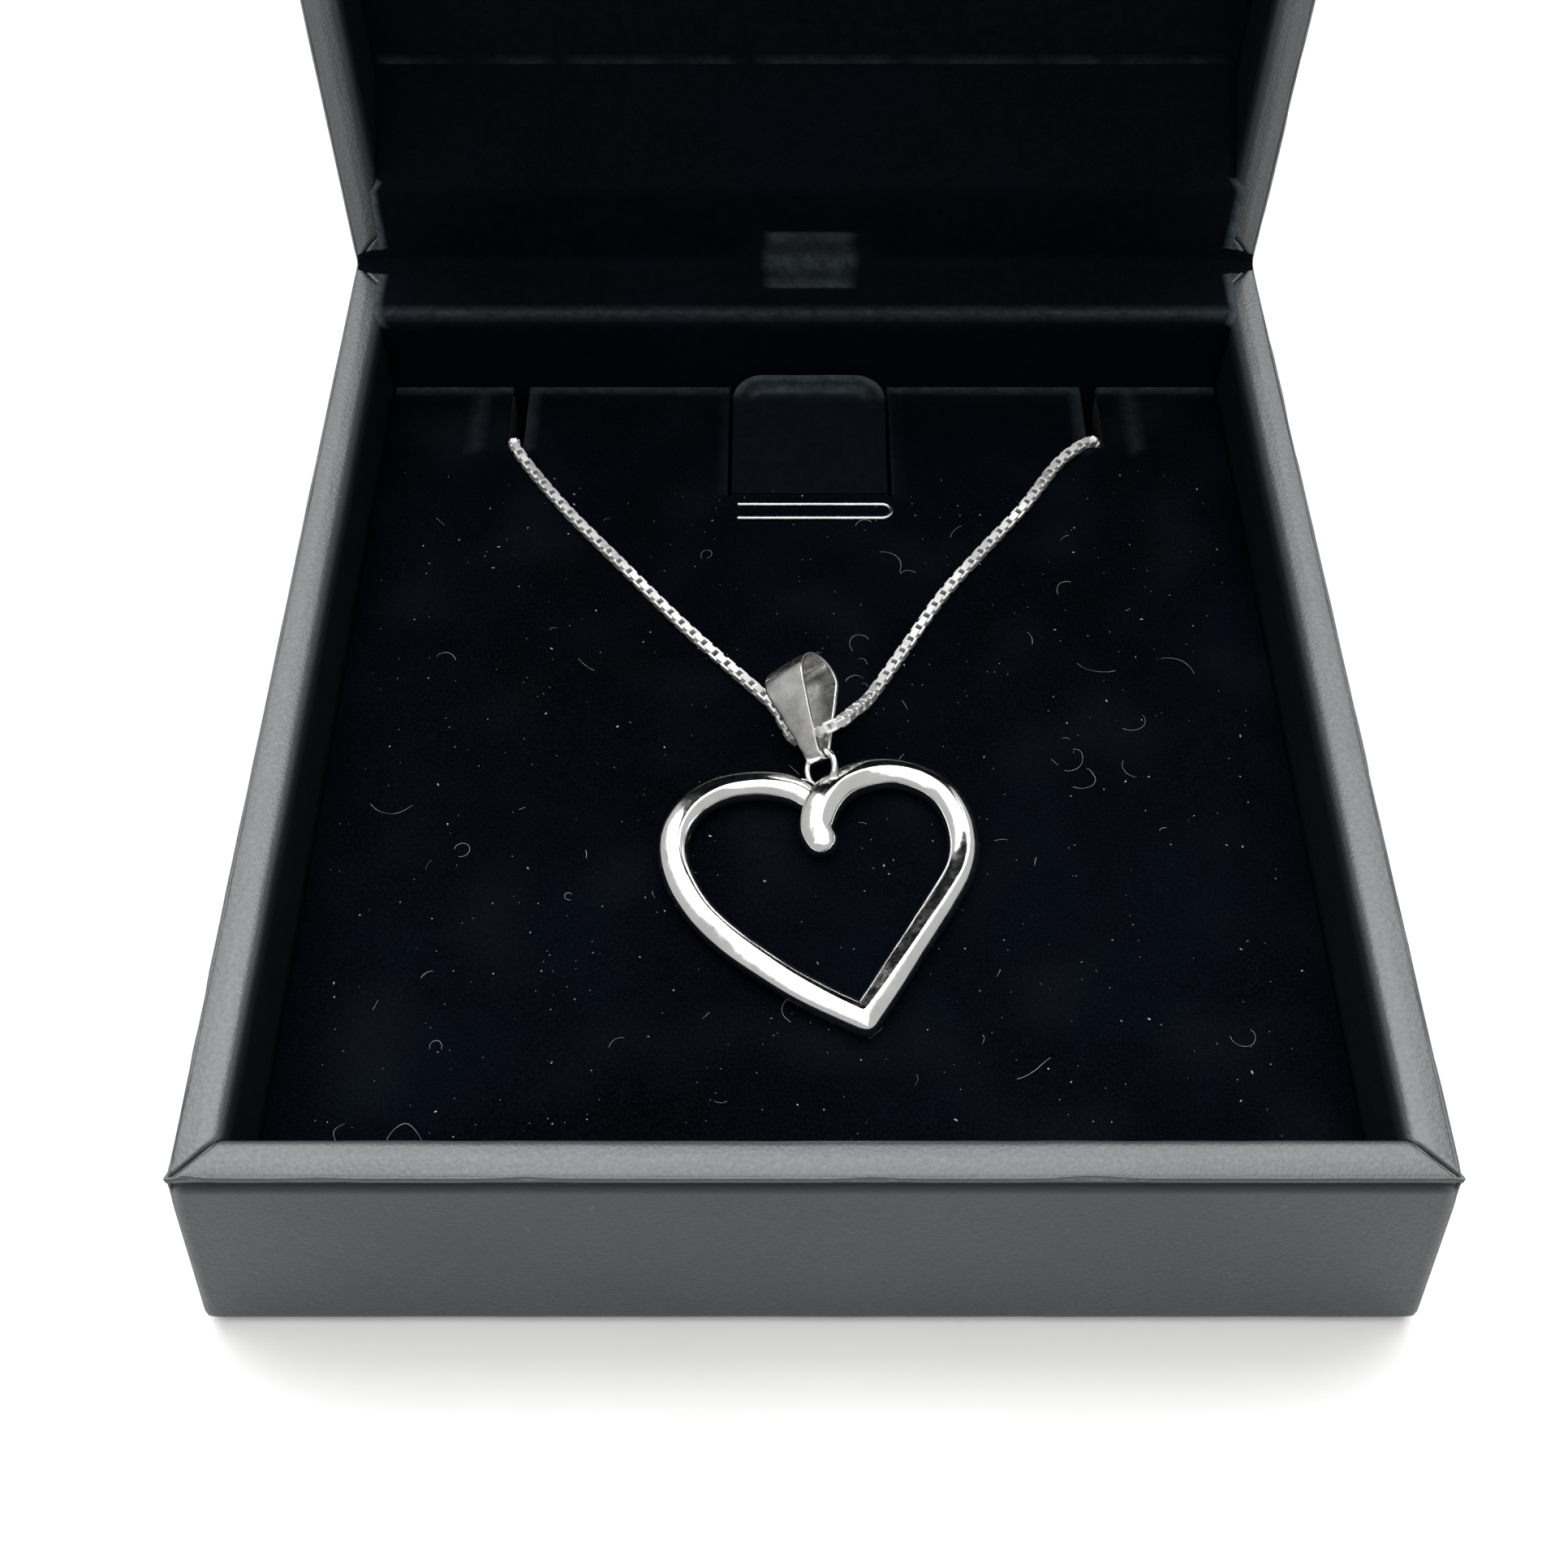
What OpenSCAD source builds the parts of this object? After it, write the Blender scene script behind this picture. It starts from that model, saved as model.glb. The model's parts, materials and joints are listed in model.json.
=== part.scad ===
// Hinged jewellery gift box with a lift-out velvet insert, a chain and an open-heart pendant.
// X is to the right, Y is to the hinge, Z is up. The origin is the centre of the base's underside.
// The lid is drawn closed and then opened about the hinge, and the pendant lies on the insert.

/* [Box] */
// Width of the base across its rim
rim_w = 90; // [84:0.5:110]
// Depth of the base across its rim, front to hinge
rim_d = 98; // [92:0.5:120]
// Height of the base
base_h = 22; // [20:0.5:32]
// Height of the lid
lid_h = 18; // [17:0.5:26]
// How far each base wall leans out from rim to foot
flare = 2.1; // [0:0.1:3]
// Thickness of a wall at the rim, with its covering
wall_t = 3.4; // [3:0.1:4.5]
// Angle of the lid from shut
lid_open = 91.5; // [80:0.5:110]

/* [Covering] */
// Thickness of the leatherette, cloth and velvet skins
skin = 0.4; // [0.3:0.05:0.5]
// Width of the leatherette turned under the base
turn_under = 8; // [5:0.5:12]

/* [Hinge] */
// Width of the snap hinge in the middle of the back
hinge_w = 9.1; // [7:0.1:14]
// Width of the back rim with the block that carries the hinge
back_rim = 8.2; // [7:0.1:10]
// Radius of the hinge pin
pin_r = 0.5; // [0.4:0.05:0.6]

/* [Insert] */
// Depth from the rim to the top of the pad
pad_drop = 8; // [7.5:0.5:10]
// Thickness of the insert, from card to velvet
insert_t = 5; // [4.6:0.1:6]
// Gap between the insert and the walls
insert_gap = 0.5; // [0.3:0.1:1]
// Distance from the middle to each chain slit
slit_x = 28.5; // [27:0.5:30]
// Width of a chain slit
slit_w = 1.7; // [1.6:0.1:2.4]
// Width of the flap in the insert
flap_w = 15; // [13:0.5:16]
// Length of the flap in the insert
flap_l = 14.2; // [12:0.1:14.4]
// Angle that the flap's end is raised by
flap_rest = 10; // [0:1:15]

/* [Lid panel] */
// Depth from the lid's rim to its velvet panel
panel_drop = 8.6; // [7:0.1:9]
// Distance from the hinge side to the panel's near edge
panel_edge = 15.6; // [14:0.1:18]

/* [Chain] */
// Thickness of the box chain
chain_d = 1; // [0.8:0.1:1.1]
// Radius of the hank of chain below the insert, to its middle
hank_r = 6; // [5.5:0.25:6.5]

/* [Pendant] */
// Width of the heart's ribbon
ribbon_w = 2.7; // [2:0.1:3.2]
// Height of the heart's ribbon
ribbon_h = 2.2; // [1.8:0.1:2.4]
// Radius of the bail's loop
bail_r = 2.45; // [2.2:0.05:2.6]
// Width of the bail's band at the top
bail_w = 4.2; // [3.6:0.1:4.6]
// Thickness of the bail's band
bail_t = 0.35; // [0.3:0.05:0.4]

/* [Hidden] */

eps = 0.01;
leatherette = [0.27, 0.29, 0.31];
velvet = [0.02, 0.022, 0.03];
card = [0.55, 0.52, 0.47];
board = [0.6, 0.56, 0.5];
foam = [0.15, 0.15, 0.16];
steel = [0.72, 0.73, 0.75];
silver = [0.86, 0.86, 0.87];

// Base levels, from the underside up
sheet_t = skin;
sheet_inset = 1;
wrap_foot = sheet_t;
board_foot = wrap_foot + skin;
floor_t = 2;
floor_top = board_foot + floor_t;
well_floor = floor_top + skin;
board_top = base_h - skin;
pad_top = base_h - pad_drop;
pad_base = pad_top - insert_t;
ledge_w = 3;
ledge_short = 6;
ledge_gap = 0.1;

// Plan of the well inside the walls
well_x = rim_w / 2 - wall_t;
well_front = -rim_d / 2 + wall_t;
well_back = rim_d / 2 - back_rim;
insert_x = well_x - insert_gap;
insert_front = well_front + insert_gap;
insert_back = well_back - insert_gap;

// Slope of the outer faces, inwards per millimetre up
lean = flare / base_h;
board_in = wall_t - skin;
block_t = back_rim - skin - board_in;
cloth_edge = rim_d / 2 - skin;

// Hinge axis, just outside the rim and half-way up the closing gap
shut_gap = 0.3;
axis_y = rim_d / 2 + 0.3;
axis_z = base_h + shut_gap / 2;
knuckle_r = 1.1;
leaf_t = 0.4;
leaf_l = 5.6;
leaf_end = rim_d / 2 - 0.9;
strap_end = axis_y - pin_r - 0.3;
hinge_room = 1.6;
hinge_gap = 0.15;
hinge_x = 0.35;
hinge_half = hinge_w / 2;
hinge_span = [hinge_x - hinge_half - hinge_gap, hinge_x + hinge_half + hinge_gap];
knuckle_w = hinge_w / 3;
knuckle_gap = 0.1;
pin_gap = 0.05;
pin_short = 0.05;
rivet_r = 0.6;
rivet_l = 2.4;
rivet_x = 2.9;
rivet_gap = 0.1;
rivet_y = rim_d / 2 - board_in - rivet_r - rivet_gap;
spring_w = 3.6;
spring_in = 0.4;

// Lid levels, measured in from its rim
lid_board_top = lid_h - skin;
lid_lining = lid_h - skin - floor_t;
panel_t = 0.5;
panel_gap = 0.3;
pad_card_t = 1;
slope_from = back_rim - skin;
slope_to = panel_edge - 0.2;
slope_top = panel_drop + 0.6;

// Insert layers, from the underside up
board_t = 1.5;
pile_t = 0.5;
foam_top = pad_top - pile_t;
core_in = 0.5;
slit_front = 31.6;
recess_t = 1.6;
recess_gap = 0.4;
recess_front = 0.3;
flap_t = 0.8;
flap_skin = 0.4;
flap_round = 3;
flap_end_gap = 0.8;
flap_y = insert_back - flap_l - flap_end_gap;

// Wire clip, just ahead of the flap
wire_r = 0.2;
wire_room = 0.05;
wire_gap = 1.8;
wire_l = 13.6;
wire_x = -6.4;
wire_y = flap_y - 2.6;
wire_foot = pad_base + 0.2;

// Bail: a tapered band folded into a teardrop loop, lying rolled on its side
eye = [0.7, -8, pad_top + 2.8];
bail_tilt = 14;
bail_yaw = 12;
bail_roll = 45;
eye_r = 0.55;
bail_l = 6.1;
bail_foot_w = 1.6;
ring_r = 1.5;
ring_wire = 0.28;

// Chain route: up through the left slit, over the pad and through the bail, down through the right one
chain_route = [
  [-20.5, 8, 5.5], [-21, 13, 5.5], [-23, 19, 5.5], [-26, 25, 5.6], [-28, 29.6, 6.2],
  [-28.5, 31.8, 7.6], [-28.5, 32.5, 9.5], [-28.5, 32.6, 12], [-28.5, 32.2, 13.8],
  [-28.3, 31, 14.7], [-26.8, 28.4, 14.6], [-22.6, 22.3, 14.6], [-17.6, 16, 14.6],
  [-12.1, 9.1, 14.6], [-8.3, 4.7, 14.6], [-4.8, 0.8, 14.7], [-3.6, -2.4, 14.7],
  [-2.7, -5, 14.9], [-1.4, -6.3, 15.6], [0.4, -6.4, 17.2], [1.4, -6.4, 18.1],
  [2.7, -5.6, 18], [3.9, -3.6, 16.9], [5.4, -0.8, 15.3], [8.4, 4.7, 14.7],
  [12.3, 11.5, 14.6], [16.3, 17.1, 14.6], [20.6, 22.8, 14.6], [24.1, 28.3, 14.6],
  [26.4, 30.7, 14.7], [28, 32, 14.3], [28.5, 32.6, 13], [28.5, 32.6, 9.5],
  [28.2, 31.8, 7.2], [26, 29.4, 6], [21, 25.4, 5.8], [15, 21.2, 5.8], [11, 18.6, 5.8],
  [8.3, 17.6, 5.8]
];
tail_route = [
  [-8.5, 8, 5.5], [-8, 11.5, 5.5], [-5.5, 15.2, 5.6], [-0.8, 17.2, 5.8]
];
chain_fn = 8;
hank_x = -14.5;
hank_y = 8;
hank_w = 3.2;
hank_foot = well_floor + 0.8;
hank_t = 3.2;

// Spring-ring clasp, flat below the insert with its opening towards the end ring
clasp_x = 3.6;
clasp_y = 17.4;
clasp_z = well_floor + 2.6;
clasp_r = 2.4;
tube_r = 0.7;
bore_r = 0.42;
bolt_r = 0.34;
mouth_from = -20;
mouth_to = 25;
bolt_from = -95;
knob_at = -50;
trigger_travel = 50;
slot_play = 8;
bore_end = 5;
bore_past = 35;
bolt_past = 6;
knob_r = 0.2;
knob_out = 0.7;
link_r = 1.35;
link_wire = 0.25;
ring_out = 0.3;
ring_hooked = 0.75;

// Heart: one ribbon from under the cleft, round the tip, over the cleft and into a curl.
// Its heights are from the ribbon's middle where it lies flat on the pad.
heart_gap = 0.2;
heart_mid = pad_top + heart_gap + ribbon_h / 2;
tip_turn = 42.4;
left_flank = [
  [0.9, -12.2, -0.2], [-0.9, -10.9, -0.1], [-2.8, -10.4, 0], [-4.8, -10.3, 0], [-7.3, -10.8, 0],
  [-9.4, -12.2, 0], [-10.7, -14.1, 0], [-11.2, -16.3, 0], [-10.9, -18.7, 0], [-9.9, -21.2, 0],
  [-8.4, -23.5, 0], [-6.2, -25.8, 0], [-3.6, -27.9, 0], [-1.1, -29.7, 0], [1.4, -31.2, 0],
  [4.1, -32.6, 0]
];
right_flank = [
  [4.1, -32.6, 0], [5.7, -30.1, 0], [7.5, -27.1, 0], [9.3, -24.1, 0], [10.9, -21.4, 0],
  [12.2, -18.9, 0], [12.7, -16.4, 0], [12.4, -13.8, 0], [11.4, -11.5, 0], [9.7, -9.9, 0],
  [7.4, -9.1, 0.1], [5.2, -9.3, 0.2], [3.2, -10.2, 0.4], [1.8, -11.6, 0.6], [0.9, -13.3, 0.5],
  [0.6, -15, 0.2], [1.2, -16.3, 0]
];

// ---- curves and sweeps ----

function knot(p, i) = p[max(0, min(len(p) - 1, i))];

// One point of a smooth curve through the points p, in the stretch after point i
function curve_point(p, i, t) =
  let (a = knot(p, i - 1), b = knot(p, i), c = knot(p, i + 1), d = knot(p, i + 2))
  0.5 * (2 * b + (c - a) * t + (2 * a - 5 * b + 4 * c - d) * t * t + (3 * b - a - 3 * c + d) * t * t * t);

function smooth_curve(p, steps) = [
  for (i = [0 : len(p) - 2], s = [0 : steps - 1]) curve_point(p, i, s / steps),
  p[len(p) - 1]
];

function unit(v) = v / norm(v);

function heading(p, i) =
  i == 0 ? unit(p[1] - p[0])
  : i == len(p) - 1 ? unit(p[i] - p[i - 1])
  : unit(unit(p[i + 1] - p[i]) + unit(p[i] - p[i - 1]));

// Side direction of each ring, carried along the route so that the tube never twists
function carried(side, along) = unit(side - along * (side * along));

function sides(p, i, side) =
  i == len(p) ? []
  : let (s = carried(side, heading(p, i))) concat([s], sides(p, i + 1, s));

function tube_faces(rings, n) = concat(
  [[for (k = [0 : n - 1]) k]],
  [for (i = [0 : rings - 2], k = [0 : n - 1])
    [i * n + k, (i + 1) * n + k, (i + 1) * n + (k + 1) % n, i * n + (k + 1) % n]],
  [[for (k = [n - 1 : -1 : 0]) (rings - 1) * n + k]]
);

module tube(route, r, n) {
  start = carried([0, 0, 1], heading(route, 0));
  side = sides(route, 0, norm(cross([0, 0, 1], heading(route, 0))) > 0.2 ? start : [1, 0, 0]);
  points = [
    for (i = [0 : len(route) - 1], k = [0 : n - 1])
      let (across = cross(heading(route, i), side[i]), turn = 360 * (k + 0.5) / n)
      route[i] + r * (cos(turn) * side[i] + sin(turn) * across)
  ];
  polyhedron(points = points, faces = tube_faces(len(route), n));
}

// Flat-bottomed ribbon with a crowned top, swept level along a route; the last ring may be mitred
module ribbon(route, w, h, n, end_turn, grow) {
  points = [
    for (i = [0 : len(route) - 1], k = [0 : n - 1])
      let (
        last = i == len(route) - 1,
        first = i == 0,
        along = heading(route, i),
        flat = unit([along[0], along[1], 0]),
        bend = last ? end_turn[1] : first ? end_turn[0] : 0,
        across = [-flat[1], flat[0], 0],
        skew = across + flat * tan(bend),
        ends = first ? grow[0] : last ? grow[1] : 1,
        turn = 360 * (k + 0.5) / n
      )
      route[i] + ends * (w / 2 * cos(turn) * skew + [0, 0, h / 2 * sin(turn)])
  ];
  polyhedron(points = points, faces = tube_faces(len(route), n));
}

// ---- placing ----

// A straight run of wall: outline [distance in from the rim's outer edge, height], mitred at both ends
module wall_run(side, outline) {
  depth = (side % 2 == 0 ? rim_d : rim_w) / 2;
  half = (side % 2 == 0 ? rim_w : rim_d) / 2;
  out = flare + 3;
  in = 20;
  rotate([0, 0, 90 * side])
  intersection() {
    translate([-half - out, -depth, 0])
    rotate([90, 0, 90])
    linear_extrude(2 * (half + out))
    polygon(outline);
    translate([0, 0, -1])
    linear_extrude(base_h + lid_h)
    polygon([[-half - out, -depth - out], [half + out, -depth - out], [half - in, -depth + in],
      [-half + in, -depth + in]]);
  }
}

// Anything drawn in the lid's shut place, with heights from the lid's rim, opened with the lid
module lid_place() {
  translate([0, axis_y, axis_z])
  rotate([-lid_open, 0, 0])
  translate([0, -axis_y, shut_gap / 2])
  children();
}

module block(x, y, z) {
  translate([x[0], y[0], z[0]])
  cube([x[1] - x[0], y[1] - y[0], z[1] - z[0]]);
}

// Cylinder along X, centred on the hinge axis of the base
module axis_rod(r, x) {
  translate([x[0], axis_y, axis_z])
  rotate([0, 90, 0])
  cylinder(h = x[1] - x[0], r = r, $fn = 40);
}

// The same, in the lid's own heights
module lid_axis_rod(r, x) {
  translate([x[0], axis_y, -shut_gap / 2])
  rotate([0, 90, 0])
  cylinder(h = x[1] - x[0], r = r, $fn = 40);
}

module hinge_clearance() {
  axis_rod(hinge_room, hinge_span);
}

module lid_hinge_clearance() {
  lid_axis_rod(hinge_room, hinge_span);
}

// ---- base ----

function out_at(z) = -lean * (base_h - z);

base_board_outline = [
  [out_at(board_foot) + skin, board_foot], [board_in, board_foot],
  [board_in, board_top], [skin, board_top]
];
base_wrap_outline = [
  [out_at(wrap_foot), wrap_foot], [turn_under, wrap_foot], [turn_under, board_foot],
  [out_at(board_foot) + skin, board_foot], [skin, board_top], [board_in, board_top],
  [board_in, floor_top], [wall_t, floor_top], [wall_t, base_h], [0, base_h]
];
base_back_wrap_outline = [
  [out_at(wrap_foot), wrap_foot], [turn_under, wrap_foot], [turn_under, board_foot],
  [out_at(board_foot) + skin, board_foot], [skin, board_top], [board_in, board_top],
  [board_in, base_h], [0, base_h]
];

module base_sheet() {
  foot_x = rim_w / 2 + flare - sheet_inset;
  foot_y = rim_d / 2 + flare - sheet_inset;
  color(velvet)
  block([-foot_x, foot_x], [-foot_y, foot_y], [0, sheet_t]);
}

module base_floor() {
  in_x = rim_w / 2 - board_in;
  in_y = rim_d / 2 - board_in;
  color(board)
  block([-in_x, in_x], [-in_y, in_y], [board_foot, floor_top]);
}

module base_board(side) {
  color(board)
  if (side == 2) {
    difference() {
      wall_run(side, base_board_outline);
      hinge_clearance();
      base_leaf_seat();
      snap_spring_shape();
    }
  } else {
    wall_run(side, base_board_outline);
  }
}

module base_wrap(side) {
  color(leatherette)
  if (side == 2) {
    difference() {
      wall_run(side, base_back_wrap_outline);
      hinge_clearance();
      block([-well_x, well_x], [0, cloth_edge], [board_top, base_h + 1]);
    }
  } else {
    wall_run(side, base_wrap_outline);
  }
}

module well_lining() {
  color(velvet)
  block([-well_x, well_x], [well_front, well_back], [floor_top, well_floor]);
}

// Two strips that the insert rests on
module insert_ledges() {
  color(card)
  for (s = [-1, 1])
    translate([s * (well_x - ledge_w / 2) - ledge_w / 2, well_front + ledge_short, well_floor])
    cube([ledge_w, well_back - well_front - 2 * ledge_short, pad_base - ledge_gap - well_floor]);
}

// Room in the wall and the block for the base's hinge leaf
module base_leaf_seat() {
  block(hinge_span, [leaf_end - leaf_l, rim_d / 2 + 1], [board_top - leaf_t, board_top + eps]);
}

module base_hinge_block() {
  front = well_back + skin;
  color(board)
  difference() {
    block([-well_x, well_x], [front, front + block_t], [floor_top, board_top]);
    base_leaf_seat();
    snap_spring_shape();
    base_rivet_shanks();
  }
}

module base_hinge_cloth() {
  color(velvet)
  difference() {
    union() {
      block([-well_x, well_x], [well_back, cloth_edge], [board_top, base_h]);
      block([-well_x, well_x], [well_back, well_back + skin], [floor_top, base_h]);
    }
    hinge_clearance();
  }
}

// Knuckle along X with a strap down to the leaf; from and to are its ends
module knuckle(from, to) {
  difference() {
    axis_rod(knuckle_r, [from, to]);
    axis_rod(pin_r + pin_gap, [from - 1, to + 1]);
  }
}

module base_hinge_leaf() {
  x0 = hinge_x - hinge_half;
  x1 = hinge_x + hinge_half;
  color(steel)
  difference() {
    union() {
      block([x0, x1], [leaf_end - leaf_l, leaf_end], [board_top - leaf_t, board_top]);
      for (x = [x0, x1 - knuckle_w + knuckle_gap]) {
        knuckle(x, x + knuckle_w - knuckle_gap);
        block([x, x + knuckle_w - knuckle_gap], [leaf_end - eps, strap_end],
          [board_top - leaf_t, board_top]);
      }
    }
    axis_rod(pin_r + pin_gap, [x0 - 1, x1 + 1]);
    base_rivet_shanks();
  }
}

module snap_spring_shape() {
  block([hinge_x - spring_w / 2, hinge_x + spring_w / 2], [leaf_end - leaf_l + spring_in, leaf_end - spring_in],
    [board_top - 2 * leaf_t, board_top - leaf_t]);
}

module snap_spring() {
  color(steel)
  snap_spring_shape();
}

module rivet_row(y, z, down) {
  for (s = [-1, 1])
    translate([hinge_x + s * rivet_x, y, z])
    mirror([0, 0, down ? 1 : 0])
    cylinder(h = rivet_l, r = rivet_r, $fn = 24);
}

module base_rivet_shanks() {
  rivet_row(rivet_y, board_top, true);
}

module base_rivets() {
  color(steel)
  base_rivet_shanks();
}

module hinge_pin() {
  color(steel)
  axis_rod(pin_r, [hinge_x - hinge_half + pin_short, hinge_x + hinge_half - pin_short]);
}

// ---- lid ----

function in_at(h) = lean * h;

lid_board_outline = [
  [in_at(skin) + skin, skin], [board_in, skin], [board_in, lid_board_top],
  [in_at(lid_board_top) + skin, lid_board_top]
];
lid_wrap_outline = [
  [0, 0], [wall_t, 0], [wall_t, lid_lining], [board_in, lid_lining], [board_in, skin],
  [in_at(skin) + skin, skin], [in_at(lid_board_top) + skin, lid_board_top],
  [in_at(lid_board_top), lid_board_top]
];
lid_back_wrap_outline = [
  [0, 0], [board_in, 0], [board_in, skin], [in_at(skin) + skin, skin],
  [in_at(lid_board_top) + skin, lid_board_top], [in_at(lid_board_top), lid_board_top]
];

module lid_top_board() {
  in_x = rim_w / 2 - board_in;
  in_y = rim_d / 2 - board_in;
  color(board)
  lid_place()
  block([-in_x, in_x], [-in_y, in_y], [lid_lining, lid_board_top]);
}

module lid_board(side) {
  color(board)
  lid_place()
  if (side == 2) {
    difference() {
      wall_run(side, lid_board_outline);
      lid_hinge_clearance();
      lid_leaf_seat();
    }
  } else {
    wall_run(side, lid_board_outline);
  }
}

module lid_wrap(side) {
  color(leatherette)
  lid_place()
  if (side == 2) {
    difference() {
      wall_run(side, lid_back_wrap_outline);
      lid_hinge_clearance();
      block([-well_x, well_x], [0, cloth_edge], [-1, skin]);
    }
  } else {
    wall_run(side, lid_wrap_outline);
  }
}

module lid_top_cover() {
  top_x = rim_w / 2 - in_at(lid_h);
  top_y = rim_d / 2 - in_at(lid_h);
  color(leatherette)
  lid_place()
  block([-top_x, top_x], [-top_y, top_y], [lid_board_top, lid_h]);
}

// Section of the block that carries the hinge, sloping from the rim down to the panel
module lid_block_outline() {
  polygon([[board_in, skin], [slope_from, skin], [slope_to, slope_top],
    [slope_to, lid_lining], [board_in, lid_lining]]);
}

module lid_cloth_outline() {
  polygon([[skin, 0], [back_rim, 0], [slope_to + skin, slope_top - skin],
    [slope_to, slope_top], [slope_from, skin], [skin, skin]]);
}

// Draws an outline [distance in from the hinge side, height] along X between the side walls
module across_lid() {
  translate([well_x, rim_d / 2, 0])
  rotate([90, 0, -90])
  linear_extrude(2 * well_x)
  children();
}

module lid_leaf_seat() {
  block(hinge_span, [leaf_end - leaf_l, rim_d / 2 + 1], [skin - eps, skin + leaf_t]);
}

module lid_rivet_shanks() {
  rivet_row(rivet_y, skin, false);
}

module lid_hinge_block() {
  color(board)
  lid_place()
  difference() {
    across_lid() lid_block_outline();
    lid_leaf_seat();
    lid_rivet_shanks();
  }
}

module lid_hinge_cloth() {
  color(velvet)
  lid_place()
  difference() {
    across_lid() lid_cloth_outline();
    lid_hinge_clearance();
  }
}

module lid_hinge_leaf() {
  x0 = hinge_x - hinge_half;
  x1 = hinge_x + hinge_half;
  k0 = x0 + knuckle_w + knuckle_gap;
  k1 = x1 - knuckle_w - knuckle_gap;
  color(steel)
  lid_place()
  difference() {
    union() {
      block([x0, x1], [leaf_end - leaf_l, leaf_end], [skin, skin + leaf_t]);
      lid_axis_rod(knuckle_r, [k0, k1]);
      block([k0, k1], [leaf_end - eps, strap_end], [skin, skin + leaf_t]);
    }
    lid_axis_rod(pin_r + pin_gap, [x0 - 1, x1 + 1]);
    lid_rivet_shanks();
  }
}

module lid_rivets() {
  color(steel)
  lid_place()
  lid_rivet_shanks();
}

module lid_pad_layer(from, to, edge) {
  lid_place()
  block([-well_x, well_x], [well_front, rim_d / 2 - edge], [from, to]);
}

module lid_pad_card() {
  color(card)
  lid_pad_layer(lid_lining - pad_card_t, lid_lining, panel_edge);
}

module lid_pad_foam() {
  color(foam)
  lid_pad_layer(panel_drop + panel_t, lid_lining - pad_card_t, panel_edge);
}

module lid_pad_velvet() {
  color(velvet)
  lid_pad_layer(panel_drop, panel_drop + panel_t, panel_edge + panel_gap);
}

// ---- insert ----

module slits() {
  for (s = [-1, 1])
    block([s * slit_x - slit_w / 2, s * slit_x + slit_w / 2], [slit_front, insert_back + 1], [0, base_h]);
}

module wire_holes() {
  for (s = [-1, 1])
    translate([wire_x, wire_y + s * wire_gap / 2, pad_base - 1])
    cylinder(h = insert_t + 2, r = wire_r + wire_room, $fn = 24);
}

module flap_recess() {
  half = flap_w / 2 + recess_gap;
  block([hinge_x - half, hinge_x + half], [flap_y - recess_front, insert_back + 1],
    [pad_top - recess_t, base_h]);
}

// What the velvet is drawn over, between two heights
module insert_core(from, to) {
  block([-insert_x + core_in, insert_x - core_in], [insert_front + core_in, insert_back - core_in],
    [from, to]);
}

module insert_board() {
  color(card)
  difference() {
    insert_core(pad_base, pad_base + board_t);
    slits();
    wire_holes();
  }
}

module insert_foam() {
  color(foam)
  difference() {
    insert_core(pad_base + board_t, foam_top);
    slits();
    wire_holes();
    flap_recess();
  }
}

module insert_velvet() {
  color(velvet)
  difference() {
    block([-insert_x, insert_x], [insert_front, insert_back], [pad_base, pad_top]);
    insert_core(pad_base - 1, foam_top);
    slits();
    wire_holes();
    flap_recess();
  }
}

// Hairpin of wire on the velvet, with both legs down through the insert at its left end
module wire_clip() {
  z = pad_top + wire_r;
  bend = wire_gap / 2;
  color(steel)
  union() {
    for (s = [-1, 1]) {
      translate([wire_x, wire_y + s * bend, wire_foot])
      cylinder(h = z - wire_foot, r = wire_r, $fn = 24);
      translate([wire_x, wire_y + s * bend, z])
      sphere(r = wire_r, $fn = 24);
      translate([wire_x, wire_y + s * bend, z])
      rotate([0, 90, 0])
      cylinder(h = wire_l, r = wire_r, $fn = 24);
    }
    translate([wire_x + wire_l, wire_y, z])
    rotate([0, 0, -90])
    rotate_extrude(angle = 180, $fn = 48)
    translate([bend, 0])
    circle(r = wire_r, $fn = 24);
  }
}

// The flap turns on its velvet at the pad's surface, and its free end is raised at rest
module flap_layer(from, to) {
  translate([hinge_x, flap_y, pad_top])
  rotate([flap_rest, 0, 0])
  intersection() {
    translate([-flap_w / 2, 0, from])
    cube([flap_w, flap_l, to - from]);
    translate([0, 0, from])
    union() {
      translate([-flap_w / 2, 0, 0])
      cube([flap_w, flap_l - flap_round, to - from]);
      translate([-flap_w / 2 + flap_round, flap_l - flap_round - 1, 0])
      cube([flap_w - 2 * flap_round, flap_round + 1, to - from]);
      for (s = [-1, 1])
        translate([s * (flap_w / 2 - flap_round), flap_l - flap_round, 0])
        cylinder(h = to - from, r = flap_round, $fn = 48);
    }
  }
}

module flap_card() {
  color(card)
  flap_layer(-flap_t - flap_skin, -flap_skin);
}

module flap_velvet() {
  color(velvet)
  flap_layer(-flap_skin, 0);
}

// ---- chain ----

module chain() {
  color(silver)
  tube(smooth_curve(chain_route, 2), chain_d / 2, chain_fn);
}

module chain_tail() {
  color(silver)
  tube(smooth_curve(tail_route, 2), chain_d / 2, chain_fn);
}

module chain_hank() {
  color(silver)
  translate([hank_x, hank_y, hank_foot])
  rotate_extrude($fn = 96)
  translate([hank_r - hank_w / 2, 0])
  square([hank_w, hank_t]);
}

module clasp_place() {
  translate([clasp_x, clasp_y, clasp_z])
  children();
}

module arc_rod(r, from, to, rod) {
  rotate([0, 0, from])
  rotate_extrude(angle = to - from, $fn = 64)
  translate([r, 0])
  circle(r = rod, $fn = 32);
}

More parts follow.
